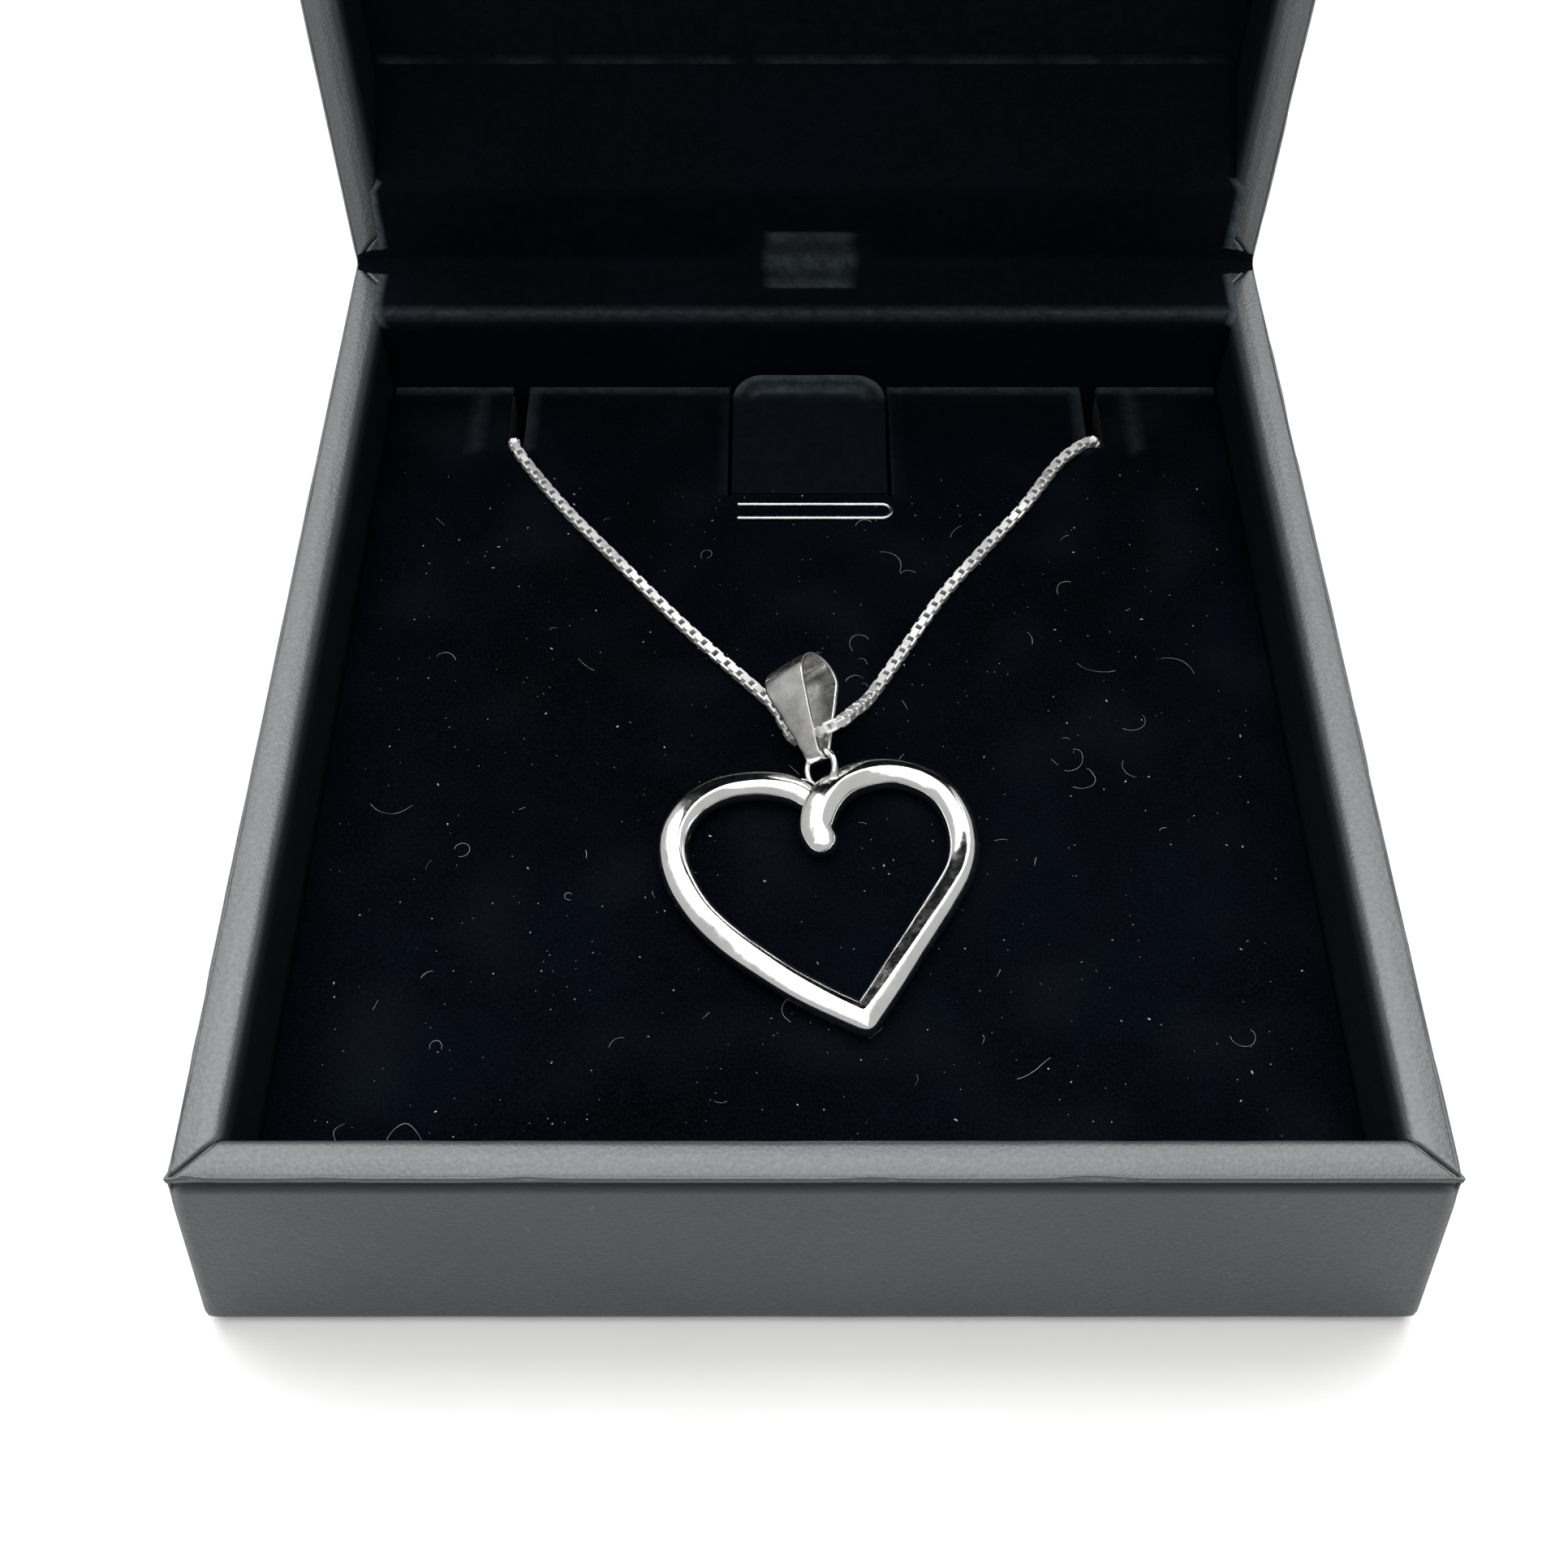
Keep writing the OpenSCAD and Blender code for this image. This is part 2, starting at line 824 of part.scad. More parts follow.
// A tube bent into an open ring, with a slot in its rim for the trigger's knob
module clasp_body() {
  slot = knob_r + 0.08;
  color(silver)
  clasp_place()
  difference() {
    arc_rod(clasp_r, mouth_to, mouth_from + 360, tube_r);
    arc_rod(clasp_r, bolt_from - trigger_travel - bore_end, mouth_to + bore_past, bore_r);
    rotate([0, 0, knob_at - trigger_travel - slot_play])
    rotate_extrude(angle = trigger_travel + 2 * slot_play, $fn = 64)
    translate([clasp_r, -slot])
    square([tube_r + 1, 2 * slot]);
  }
}

// The bolt that closes the mouth, with the knob that a fingernail draws back
module clasp_trigger() {
  color(silver)
  clasp_place()
  union() {
    arc_rod(clasp_r, bolt_from, mouth_to + bolt_past, bolt_r);
    rotate([0, 0, knob_at])
    translate([clasp_r, 0, 0])
    rotate([0, 90, 0])
    cylinder(h = tube_r + knob_out, r = knob_r, $fn = 24);
  }
}

// Ring that ties the tail of the chain to the clasp
module clasp_ring() {
  color(silver)
  translate([clasp_x - clasp_r - ring_out, clasp_y, clasp_z])
  rotate([90, 0, 0])
  rotate_extrude($fn = 48)
  translate([link_r, 0])
  circle(r = link_wire, $fn = 24);
}

// Ring on the chain's other end, hooked in the clasp's mouth
module end_ring() {
  mouth = (mouth_from + mouth_to) / 2;
  reach = clasp_r + link_r - ring_hooked;
  color(silver)
  translate([clasp_x + reach * cos(mouth), clasp_y + reach * sin(mouth), clasp_z])
  rotate([90, 0, mouth])
  rotate_extrude($fn = 48)
  translate([link_r, 0])
  circle(r = link_wire, $fn = 24);
}

// ---- pendant ----

// Bail's own axes: X across the band, Y from the eye to the loop's top, Z through the loop
module bail_place() {
  translate(eye)
  rotate([bail_tilt, 0, bail_yaw])
  rotate([0, -bail_roll, 0])
  children();
}

// Outline of a loop with a round foot and a larger round top, drawn along X
module teardrop(foot, top) {
  turn = asin((top - foot) / bail_l);
  steps = 16;
  swing_top = 180 + 2 * turn;
  swing_foot = 180 - 2 * turn;
  polygon(concat(
    [for (k = [0 : steps]) let (a = -90 - turn + swing_top * k / steps)
      [bail_l + top * cos(a), top * sin(a)]],
    [for (k = [0 : steps / 2]) let (a = 90 + turn + swing_foot * k / (steps / 2))
      [foot * cos(a), foot * sin(a)]]
  ));
}

module bail() {
  foot_y = -eye_r - bail_t;
  top_y = bail_l + bail_r;
  color(silver)
  bail_place()
  intersection() {
    translate([-bail_w, 0, 0])
    rotate([90, 0, 90])
    linear_extrude(2 * bail_w)
    difference() {
      teardrop(eye_r + bail_t, bail_r);
      teardrop(eye_r, bail_r - bail_t);
    }
    translate([0, 0, -bail_r - 1])
    linear_extrude(2 * bail_r + 2)
    polygon([
      [-bail_foot_w / 2, foot_y - 1], [bail_foot_w / 2, foot_y - 1], [bail_foot_w / 2, foot_y + 1],
      [bail_w / 2, top_y - 2.4], [bail_w / 2, top_y + 1], [-bail_w / 2, top_y + 1],
      [-bail_w / 2, top_y - 2.4], [-bail_foot_w / 2, foot_y + 1]
    ]);
  }
}

// Ring soldered in the cleft, through the bail's eye
module heart_ring() {
  color(silver)
  bail_place()
  translate([0, -ring_r + 0.05, 0])
  rotate_extrude($fn = 64)
  translate([ring_r, 0])
  circle(r = ring_wire, $fn = 24);
}

module heart() {
  ribbon_fn = 12;
  color(silver)
  translate([0, 0, heart_mid])
  resize([0, 0, 0])
  union() {
    ribbon(smooth_curve(left_flank, 2), ribbon_w, ribbon_h, ribbon_fn, [0, tip_turn], [0.6, 1]);
    ribbon(smooth_curve(right_flank, 2), ribbon_w, ribbon_h, ribbon_fn, [-tip_turn, 0], [1, 0.6]);
  }
}

base_sheet();
base_floor();
base_board(0);  // base_front_board
base_board(1);  // base_right_board
base_board(2);  // base_back_board
base_board(3);  // base_left_board
base_wrap(0);  // base_front_wrap
base_wrap(1);  // base_right_wrap
base_wrap(2);  // base_back_wrap
base_wrap(3);  // base_left_wrap
well_lining();
insert_ledges();
base_hinge_block();
base_hinge_cloth();
base_hinge_leaf();
snap_spring();
base_rivets();
hinge_pin();
lid_top_board();
lid_board(0);  // lid_front_board
lid_board(1);  // lid_right_board
lid_board(2);  // lid_back_board
lid_board(3);  // lid_left_board
lid_wrap(0);  // lid_front_wrap
lid_wrap(1);  // lid_right_wrap
lid_wrap(2);  // lid_back_wrap
lid_wrap(3);  // lid_left_wrap
lid_top_cover();
lid_hinge_block();
lid_hinge_cloth();
lid_hinge_leaf();
lid_rivets();
lid_pad_card();
lid_pad_foam();
lid_pad_velvet();
insert_board();
insert_foam();
insert_velvet();
wire_clip();
flap_card();
flap_velvet();
chain();
chain_hank();
chain_tail();
clasp_body();
clasp_ring();
end_ring();
clasp_trigger();
bail();
heart();
heart_ring();
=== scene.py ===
import json
import math
import random

import bmesh
import bpy
from mathutils import Matrix, Vector, noise


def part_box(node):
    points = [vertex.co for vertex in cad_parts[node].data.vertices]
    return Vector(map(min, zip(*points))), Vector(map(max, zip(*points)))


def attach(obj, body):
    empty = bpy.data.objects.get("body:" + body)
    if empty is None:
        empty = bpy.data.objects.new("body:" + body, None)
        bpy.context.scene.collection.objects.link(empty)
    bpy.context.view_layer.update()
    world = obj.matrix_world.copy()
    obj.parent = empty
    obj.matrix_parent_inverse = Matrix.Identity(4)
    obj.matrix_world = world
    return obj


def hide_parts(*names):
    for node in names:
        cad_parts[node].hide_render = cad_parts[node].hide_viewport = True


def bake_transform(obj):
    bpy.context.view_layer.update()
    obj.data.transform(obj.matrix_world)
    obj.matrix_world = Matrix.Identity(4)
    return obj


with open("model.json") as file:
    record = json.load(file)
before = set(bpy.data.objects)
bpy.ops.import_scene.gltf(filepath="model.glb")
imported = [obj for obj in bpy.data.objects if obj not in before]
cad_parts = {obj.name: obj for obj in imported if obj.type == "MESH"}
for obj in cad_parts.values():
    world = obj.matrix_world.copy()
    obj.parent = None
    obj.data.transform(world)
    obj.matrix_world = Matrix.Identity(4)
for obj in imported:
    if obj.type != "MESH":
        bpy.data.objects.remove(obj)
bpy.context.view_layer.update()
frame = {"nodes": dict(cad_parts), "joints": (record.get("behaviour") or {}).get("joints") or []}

mm = 0.001
nodes = frame["nodes"]
joints = {j["name"]: j for j in frame["joints"]}
print("frame loaded:", len(nodes), "nodes")

# sizes read from the frame, in millimetres

def low(node):
    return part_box(node)[0] / mm


def high(node):
    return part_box(node)[1] / mm


rimX = high("lid_right_wrap").x  # half width across the rim
baseTop = high("base_left_wrap").z
footX = high("base_right_wrap").x  # half width at the foot
wellX = high("well_lining").x
wellFront = low("well_lining").y
wellBack = high("well_lining").y
wellFloor = high("well_lining").z
wallT = rimX - wellX
rimY = wallT - wellFront  # half depth across the rim
padTop = high("insert_velvet").z
padBase = low("insert_velvet").z
lean = (footX - rimX) / (baseTop - low("base_right_wrap").z)
hingePos = Vector(joints["lid_hinge"]["pos_m"]) / mm
flapPos = Vector(joints["flap_lift"]["pos_m"]) / mm
lidAngle = math.radians(joints["lid_hinge"]["range_deg"][0])
flapAngle = -math.radians(joints["flap_lift"]["range_deg"][0])
shutGap = 2 * (hingePos.z - baseTop)
hingeX = hingePos.x

# the lid is modelled shut, with z from its rim, and opened by this
lidPlace = (Matrix.Translation((0, hingePos.y, hingePos.z)) @ Matrix.Rotation(lidAngle, 4, "X")
            @ Matrix.Translation((0, -hingePos.y, shutGap / 2)))
basePlace = Matrix.Translation((0, 0, baseTop)) @ Matrix.Scale(-1, 4, (0, 0, 1))

# camera, light and floor

cameraSpec = {"place": (-2.1, -102.8, 142.3), "downPitch": 53.9, "lens": 42.86}
lightSpec = {"world": 0.50,
             "backRadiance": 3.6, "backSize": (2.0, 1.1), "backPlace": (-0.03, 0.72, 1.08),
             "topRadiance": 2.2, "topSize": (1.3, 1.3), "topPlace": (-0.05, -0.15, 1.25)}


def intoScene(obj):
    bpy.context.scene.collection.objects.link(obj)
    return obj


def aimAt(obj, target):
    direction = Vector(target) - obj.location
    obj.rotation_euler = direction.to_track_quat("-Z", "Y").to_euler()


def makeCamera(spec):
    data = bpy.data.cameras.new("camera")
    data.lens = spec["lens"]
    data.sensor_width = 36
    data.clip_start = 0.005
    camera = intoScene(bpy.data.objects.new("camera", data))
    camera.location = Vector(spec["place"]) * mm
    camera.rotation_euler = (math.radians(90 - spec["downPitch"]), 0, 0)
    bpy.context.scene.camera = camera


def makeAreaLight(name, place, size, radiance):
    wide, deep = size
    data = bpy.data.lights.new(name, "AREA")
    data.shape = "RECTANGLE"
    data.size = wide
    data.size_y = deep
    data.energy = radiance * math.pi * wide * deep
    light = intoScene(bpy.data.objects.new(name, data))
    light.location = place
    aimAt(light, (0, 0, 0))


def makeWorld(strength):
    world = bpy.data.worlds.new("studio")
    world.use_nodes = True
    background = world.node_tree.nodes["Background"]
    background.inputs["Color"].default_value = (1, 1, 1, 1)
    background.inputs["Strength"].default_value = strength
    bpy.context.scene.world = world


makeCamera(cameraSpec)
makeWorld(lightSpec["world"])
makeAreaLight("backLight", lightSpec["backPlace"], lightSpec["backSize"], lightSpec["backRadiance"])
makeAreaLight("topLight", lightSpec["topPlace"], lightSpec["topSize"], lightSpec["topRadiance"])
bpy.context.scene.view_settings.view_transform = "Standard"
print("camera and light ready")

# materials


class NodeBook:
    def __init__(self, name):
        self.material = bpy.data.materials.new(name)
        self.material.use_nodes = True
        self.tree = self.material.node_tree
        self.shader = self.tree.nodes["Principled BSDF"]

    def add(self, kind, **values):
        node = self.tree.nodes.new("ShaderNode" + kind)
        for key, value in values.items():
            setattr(node, key, value)
        return node

    def link(self, source, target):
        self.tree.links.new(source, target)

    def objectCoords(self):
        return self.add("TexCoord").outputs["Object"]

    def noise(self, scale, detail=3.0, rough=0.5):
        node = self.add("TexNoise")
        node.inputs["Scale"].default_value = scale
        node.inputs["Detail"].default_value = detail
        node.inputs["Roughness"].default_value = rough
        self.link(self.objectCoords(), node.inputs["Vector"])
        return node.outputs["Fac"]

    def cells(self, scale, feature="F1"):
        node = self.add("TexVoronoi", feature=feature)
        node.inputs["Scale"].default_value = scale
        self.link(self.objectCoords(), node.inputs["Vector"])
        return node.outputs["Distance"]

    def ramp(self, source, stops):
        node = self.add("ValToRGB")
        elements = node.color_ramp.elements
        while len(elements) < len(stops):
            elements.new(0.5)
        for element, (place, colour) in zip(elements, stops):
            element.position = place
            element.color = (*colour, 1)
        self.link(source, node.inputs["Fac"])
        return node.outputs["Color"]

    def span(self, source, least, most, fromLow=0.3, fromHigh=0.7):
        node = self.add("MapRange")
        limits = (("From Min", fromLow), ("From Max", fromHigh), ("To Min", least), ("To Max", most))
        for key, value in limits:
            node.inputs[key].default_value = value
        self.link(source, node.inputs["Value"])
        return node.outputs["Result"]

    def maths(self, operation, first, second):
        node = self.add("Math", operation=operation)
        for socket, value in zip(node.inputs, (first, second)):
            if isinstance(value, (int, float)):
                socket.default_value = value
            else:
                self.link(value, socket)
        return node.outputs["Value"]

    def blend(self, factor, first, second):
        node = self.add("Mix", data_type="RGBA")
        self.link(factor, node.inputs["Factor"])
        colourSockets = [s for s in node.inputs if s.type == "RGBA"]
        for socket, value in zip(colourSockets, (first, second)):
            if isinstance(value, tuple):
                socket.default_value = (*value, 1)
            else:
                self.link(value, socket)
        return [s for s in node.outputs if s.type == "RGBA"][0]

    def painted(self, name):
        return self.add("Attribute", attribute_name=name).outputs["Fac"]

    def bump(self, height, strength, distance, below=None):
        node = self.add("Bump")
        node.inputs["Strength"].default_value = strength
        node.inputs["Distance"].default_value = distance
        self.link(height, node.inputs["Height"])
        if below is not None:
            self.link(below, node.inputs["Normal"])
        self.link(node.outputs["Normal"], self.shader.inputs["Normal"])
        return node.outputs["Normal"]

    def fix(self, **values):
        for key, value in values.items():
            self.shader.inputs[key.replace("_", " ")].default_value = value

    def feed(self, **sources):
        for key, source in sources.items():
            self.link(source, self.shader.inputs[key.replace("_", " ")])


def leatheretteMaterial():
    book = NodeBook("leatherette")
    mottle = book.ramp(book.noise(60, 4), [(0.3, (0.030, 0.035, 0.039)),
                                           (0.7, (0.038, 0.044, 0.048))])
    speck = book.ramp(book.noise(900, 2, 0.6), [(0.71, (0, 0, 0)), (0.76, (1, 1, 1))])
    specked = book.blend(book.maths("MULTIPLY", speck, 0.25), mottle, (0.14, 0.15, 0.15))
    # painted shade: the crease mask darkens the crease under the rim and the inside walls towards the well,
    # draws a dark line at the mitre seams, and dims the gloss there
    shaded = book.blend(book.painted("crease"), specked, (0.003, 0.004, 0.006))
    worn = book.blend(book.painted("worn"), shaded, (0.13, 0.135, 0.135))
    openShare = book.span(book.painted("crease"), 1.0, 0.12, 0, 1)
    gloss = book.maths("MULTIPLY", openShare, book.span(book.painted("polish"), 0.27, 1.0, 0, 1))
    rough = book.span(book.noise(2600, 3), 0.36, 0.48)
    book.feed(Base_Color=worn, Roughness=rough, Specular_IOR_Level=gloss)
    grain = book.bump(book.cells(3600), 0.30, 0.00006)
    book.bump(book.noise(9000, 3), 0.22, 0.00004, grain)
    return book.material


def velvetMaterial(name, sheen):
    book = NodeBook(name)
    lay = book.ramp(book.noise(45, 5, 0.6), [(0.35, (0.0002, 0.0003, 0.0009)),
                                             (0.75, (0.0009, 0.0018, 0.0042))])
    pile = book.ramp(book.noise(5200, 2, 0.7), [(0.45, (0, 0, 0)), (0.80, (1, 1, 1))])
    tipped = book.blend(book.maths("MULTIPLY", pile, 0.5), lay, (0.004, 0.006, 0.010))
    streak = book.span(book.noise(900, 4, 0.7), 0.45, 1.0, 0.35, 0.7)
    # lighter velvet: partly wear on frayed and rubbed pile, partly painted highlight along edges where the pile
    # catches the light
    wearAndHighlightShare = book.maths("MULTIPLY", book.painted("wearAndHighlight"), streak)
    wearAndHighlightColour = book.blend(wearAndHighlightShare, tipped, (0.060, 0.075, 0.084))
    book.feed(Base_Color=wearAndHighlightColour, Roughness=book.span(book.noise(900), 0.85, 1.0))
    book.fix(Specular_IOR_Level=0.02, Sheen_Weight=sheen, Sheen_Roughness=0.35,
             Sheen_Tint=(0.35, 0.42, 0.60, 1))
    fibre = book.bump(book.noise(4200, 2, 0.8), 0.8, 0.00012)
    book.bump(book.noise(420, 3), 0.35, 0.0003, fibre)
    return book.material


def metalMaterial(name, dark, bright, roughLow, roughHigh):
    book = NodeBook(name)
    tone = book.ramp(book.noise(350, 4, 0.6), [(0.38, dark), (0.60, bright)])
    tarnished = book.blend(book.painted("crease"), tone, (0.20, 0.19, 0.17))
    rough = book.span(book.noise(1200, 4, 0.7), roughLow, roughHigh)
    book.feed(Base_Color=tarnished, Roughness=rough)
    book.fix(Metallic=1.0)
    dents = book.bump(book.noise(380, 2), 0.20, 0.00012)
    book.bump(book.noise(6500, 3, 0.7), 0.08, 0.00002, dents)
    return book.material


def boardMaterial(name, dark, light, grain):
    book = NodeBook(name)
    fibres = book.ramp(book.noise(grain, 6, 0.7), [(0.30, dark), (0.72, light)])
    book.feed(Base_Color=fibres, Roughness=book.span(book.noise(grain * 2), 0.82, 0.97))
    book.fix(Specular_IOR_Level=0.2)
    book.bump(book.noise(grain * 4, 5, 0.75), 0.5, 0.00006)
    return book.material


def foamMaterial():
    book = NodeBook("foam")
    pores = book.cells(2300)
    shade = book.ramp(pores, [(0.10, (0.010, 0.010, 0.012)), (0.55, (0.034, 0.034, 0.038))])
    book.feed(Base_Color=shade, Roughness=book.span(book.noise(900), 0.85, 1.0))
    book.bump(pores, 1.0, 0.00015)
    return book.material


def lintMaterial():
    book = NodeBook("lint")
    shade = book.ramp(book.noise(500), [(0.35, (0.10, 0.11, 0.13)), (0.65, (0.55, 0.56, 0.58))])
    book.feed(Base_Color=shade, Roughness=book.span(book.noise(3000), 0.6, 0.9))
    book.bump(book.noise(8000), 0.3, 0.00002)
    return book.material


def floorMaterial():
    book = NodeBook("floor")
    shade = book.ramp(book.noise(30, 5), [(0.3, (0.87, 0.866, 0.856)), (0.7, (0.90, 0.895, 0.885))])
    book.feed(Base_Color=shade, Roughness=book.span(book.noise(200), 0.6, 0.75))
    return book.material


leatherette = leatheretteMaterial()
velvet = velvetMaterial("velvet", 0.012)
panelVelvet = velvetMaterial("panelVelvet", 0.008)
silver = metalMaterial("silver", (0.86, 0.85, 0.83), (0.95, 0.95, 0.94), 0.06, 0.20)
chainSilver = metalMaterial("chainSilver", (0.93, 0.93, 0.92), (0.98, 0.98, 0.97), 0.42, 0.58)
wornSilver = metalMaterial("wornSilver", (0.60, 0.59, 0.56), (0.90, 0.90, 0.88), 0.14, 0.36)
steel = metalMaterial("steel", (0.48, 0.48, 0.49), (0.72, 0.72, 0.74), 0.16, 0.34)
greyboard = boardMaterial("greyboard", (0.20, 0.185, 0.16), (0.34, 0.32, 0.28), 900)
blackCard = boardMaterial("blackCard", (0.010, 0.010, 0.012), (0.026, 0.026, 0.029), 1300)
foam = foamMaterial()
lint = lintMaterial()
print("materials ready")

# mesh helpers


def filletLine(corners, steps=5):
    # corners are (x, y, radius); each is rounded by an arc of its radius
    line = []
    for i, (x, y, radius) in enumerate(corners):
        here = Vector((x, y))
        if radius <= 0 or i in (0, len(corners) - 1):
            line.append(here)
            continue
        back = (Vector(corners[i - 1][:2]) - here).normalized()
        ahead = (Vector(corners[i + 1][:2]) - here).normalized()
        half = back.angle(ahead) / 2
        reach = radius / math.tan(half)
        centre = here + (back + ahead).normalized() * (radius / math.sin(half))
        start = here + back * reach - centre
        end = here + ahead * reach - centre
        turn = start.angle_signed(end)
        for step in range(steps + 1):
            angle = -turn * step / steps
            swung = Vector((start.x * math.cos(angle) - start.y * math.sin(angle),
                            start.x * math.sin(angle) + start.y * math.cos(angle)))
            line.append(centre + swung)
    return line


def evenLine(line, count):
    # the same line with count points evenly along it
    lengths = [0.0]
    for a, b in zip(line, line[1:]):
        lengths.append(lengths[-1] + (b - a).length)
    points = []
    k = 0
    for i in range(count):
        at = lengths[-1] * i / (count - 1)
        while k < len(line) - 2 and lengths[k + 1] < at:
            k += 1
        share = (at - lengths[k]) / max(lengths[k + 1] - lengths[k], 1e-9)
        points.append(line[k].lerp(line[k + 1], min(max(share, 0), 1)))
    return points


def finerLine(line, spacing):
    # keeps each point and adds points so that none is further than spacing from the next
    points = [line[0]]
    for a, b in zip(line, line[1:]):
        parts = max(1, math.ceil((b - a).length / spacing))
        points += [a.lerp(b, (i + 1) / parts) for i in range(parts)]
    return points


def curvePoint(points, i, t):
    a, b, c, d = (points[max(0, min(len(points) - 1, i + k))] for k in (-1, 0, 1, 2))
    return 0.5 * (2 * b + (c - a) * t + (2 * a - 5 * b + 4 * c - d) * t * t
                  + (3 * b - a - 3 * c + d) * t ** 3)


def smoothCurve(points, steps):
    points = [Vector(p) for p in points]
    curve = [curvePoint(points, i, s / steps) for i in range(len(points) - 1) for s in range(steps)]
    return curve + [points[-1]]


def newVerts(grown):
    return [g for g in grown["geom"] if isinstance(g, bmesh.types.BMVert)]


def newGrid(cells, half, centre=(0, 0, 0)):
    bm = bmesh.new()
    bmesh.ops.create_grid(bm, x_segments=cells[0], y_segments=cells[1], size=1)
    bmesh.ops.scale(bm, vec=(*half, 1), verts=bm.verts[:])
    bmesh.ops.translate(bm, vec=centre, verts=bm.verts[:])
    return bm


def addSkirt(bm, height):
    rim = [e for e in bm.edges if e.is_boundary]
    for vert in newVerts(bmesh.ops.extrude_edge_only(bm, edges=rim)):
        vert.co.z = height


def faceSkin(bm, up):
    # makes the skin's faces look one way, with most of their area up or down
    bmesh.ops.recalc_face_normals(bm, faces=bm.faces[:])
    facing = sum((f.normal * f.calc_area() for f in bm.faces), Vector())
    if facing.z * up < 0:
        bmesh.ops.reverse_faces(bm, faces=bm.faces[:])


def roundEdges(bm, edges, offset, **more):
    bmesh.ops.bevel(bm, geom=edges, offset=offset, offset_type="OFFSET", segments=3, profile=0.5,
                    affect="EDGES", material=-1, **more)


def edgeGap(point, lowCorner, highCorner):
    return min(point.x - lowCorner.x, highCorner.x - point.x, point.y - lowCorner.y,
               highCorner.y - point.y)


def ease(value):
    return max(0.0, min(1.0, value))


def bell(offset, width):
    return math.exp(-(offset / width) ** 2)


def sweepRings(bm, rowCount, ringCount, pointAt, closed=False):
    # starts from one row of joined vertices and extrudes it from ring to ring
    row = bm.verts.layers.int.new("row")
    ring = bm.verts.layers.int.new("ring")
    for k in range(rowCount):
        vert = bm.verts.new(pointAt(k, 0))
        vert[row] = k
    bm.verts.ensure_lookup_table()
    pairs = list(zip(range(rowCount - 1), range(1, rowCount)))
    if closed:
        pairs.append((rowCount - 1, 0))
    edges = [bm.edges.new((bm.verts[a], bm.verts[b])) for a, b in pairs]
    for i in range(1, ringCount):
        grown = bmesh.ops.extrude_edge_only(bm, edges=edges)
        edges = [g for g in grown["geom"] if isinstance(g, bmesh.types.BMEdge)]
        for vert in newVerts(grown):
            vert[ring] = i
            vert.co = pointAt(vert[row], i)
    return row, ring


def faceTowards(bm, direction, rows, row):
    # turns the whole skin over if the faces on those rows don't face that way
    picked = [f for f in bm.faces if all(v[row] in rows for v in f.verts)]
    bm.normal_update()
    total = sum((f.normal * f.calc_area() for f in picked), Vector())
    if total.dot(Vector(direction)) < 0:
        bmesh.ops.reverse_faces(bm, faces=bm.faces[:])


def makePiece(bm, name, material, body, smooth=True, place=None):
    mesh = bpy.data.meshes.new(name)
    if place:
        bmesh.ops.transform(bm, matrix=place, verts=bm.verts[:])
    bmesh.ops.scale(bm, vec=(mm, mm, mm), verts=bm.verts[:])
    bm.to_mesh(mesh)
    bm.free()
    mesh.materials.append(material)
    for polygon in mesh.polygons:
        polygon.use_smooth = smooth
    piece = intoScene(bpy.data.objects.new(name, mesh))
    if body:
        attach(piece, body)
    return piece


def addSolidify(piece, thickness, offset=-1.0):
    modifier = piece.modifiers.new("thickness", "SOLIDIFY")
    modifier.thickness = thickness * mm
    modifier.offset = offset


def addSubdivision(piece, levels):
    modifier = piece.modifiers.new("smoothing", "SUBSURF")
    modifier.levels = levels
    modifier.render_levels = levels


def addBevel(piece, width, segments=2, angle=35):
    modifier = piece.modifiers.new("edges", "BEVEL")
    modifier.width = width * mm
    modifier.segments = segments
    modifier.limit_method = "ANGLE"
    modifier.angle_limit = math.radians(angle)


def paint(bm, name, valueAt):
    layer = bm.verts.layers.float.new(name)
    for vert in bm.verts:
        vert[layer] = valueAt(vert)


def waver(point, scale, size):
    return size * noise.noise(Vector(point) / scale)


# the chain, first because its room is measured

chainSpec = {"thick": 1.0, "pitch": 0.8, "linkLong": 1.12, "linkWide": 0.66, "wire": 0.23,
             "bevel": 0.05, "steps": 6, "twist": 0.45, "twistOver": 7, "upright": 0.2}
hankSpec = {"centre": (-14.5, 8.0), "turns": 7.5, "perTurn": 24, "inner": 5.0, "outer": 7.0,
            "levels": (4.55, 5.6, 6.65)}
chainRoute = [
    (-21, 13, 5.5), (-23, 19, 5.5), (-26, 25, 5.6), (-28, 29.6, 6.2), (-28.5, 31.8, 7.6),
    (-28.5, 32.5, 9.5), (-28.5, 32.6, 12), (-28.5, 32.2, 13.8), (-28.3, 31, 14.7), (-26.8, 28.4, 14.6), (-22.6, 22.3, 14.6),
    (-17.6, 16, 14.6), (-12.1, 9.1, 14.6), (-8.3, 4.7, 14.6), (-4.8, 0.8, 14.7), (-3.0, -1.3, 14.7),
    (-1.9, -3.6, 14.7), (-1.1, -5.4, 15.3), (0.4, -6.4, 17.2), (1.4, -6.4, 18.1), (2.7, -5.6, 18),
    (3.9, -3.6, 16.9), (5.4, -0.8, 15.3), (8.4, 4.7, 14.7), (12.3, 11.5, 14.6), (16.3, 17.1, 14.6),
    (20.6, 22.8, 14.6), (24.1, 28.3, 14.6), (26.4, 30.7, 14.7), (28, 32, 14.3), (28.5, 32.6, 13),
    (28.5, 32.6, 9.5), (28.2, 31.8, 7.2), (26, 29.4, 6), (21, 25.4, 5.8), (15, 21.2, 5.8), (11, 18.6, 5.8),
    (8.3, 17.6, 5.8)]
tailRoute = [(-0.8, 17.2, 5.8), (-5.5, 15.2, 5.6), (-7.8, 11.5, 5.2)]


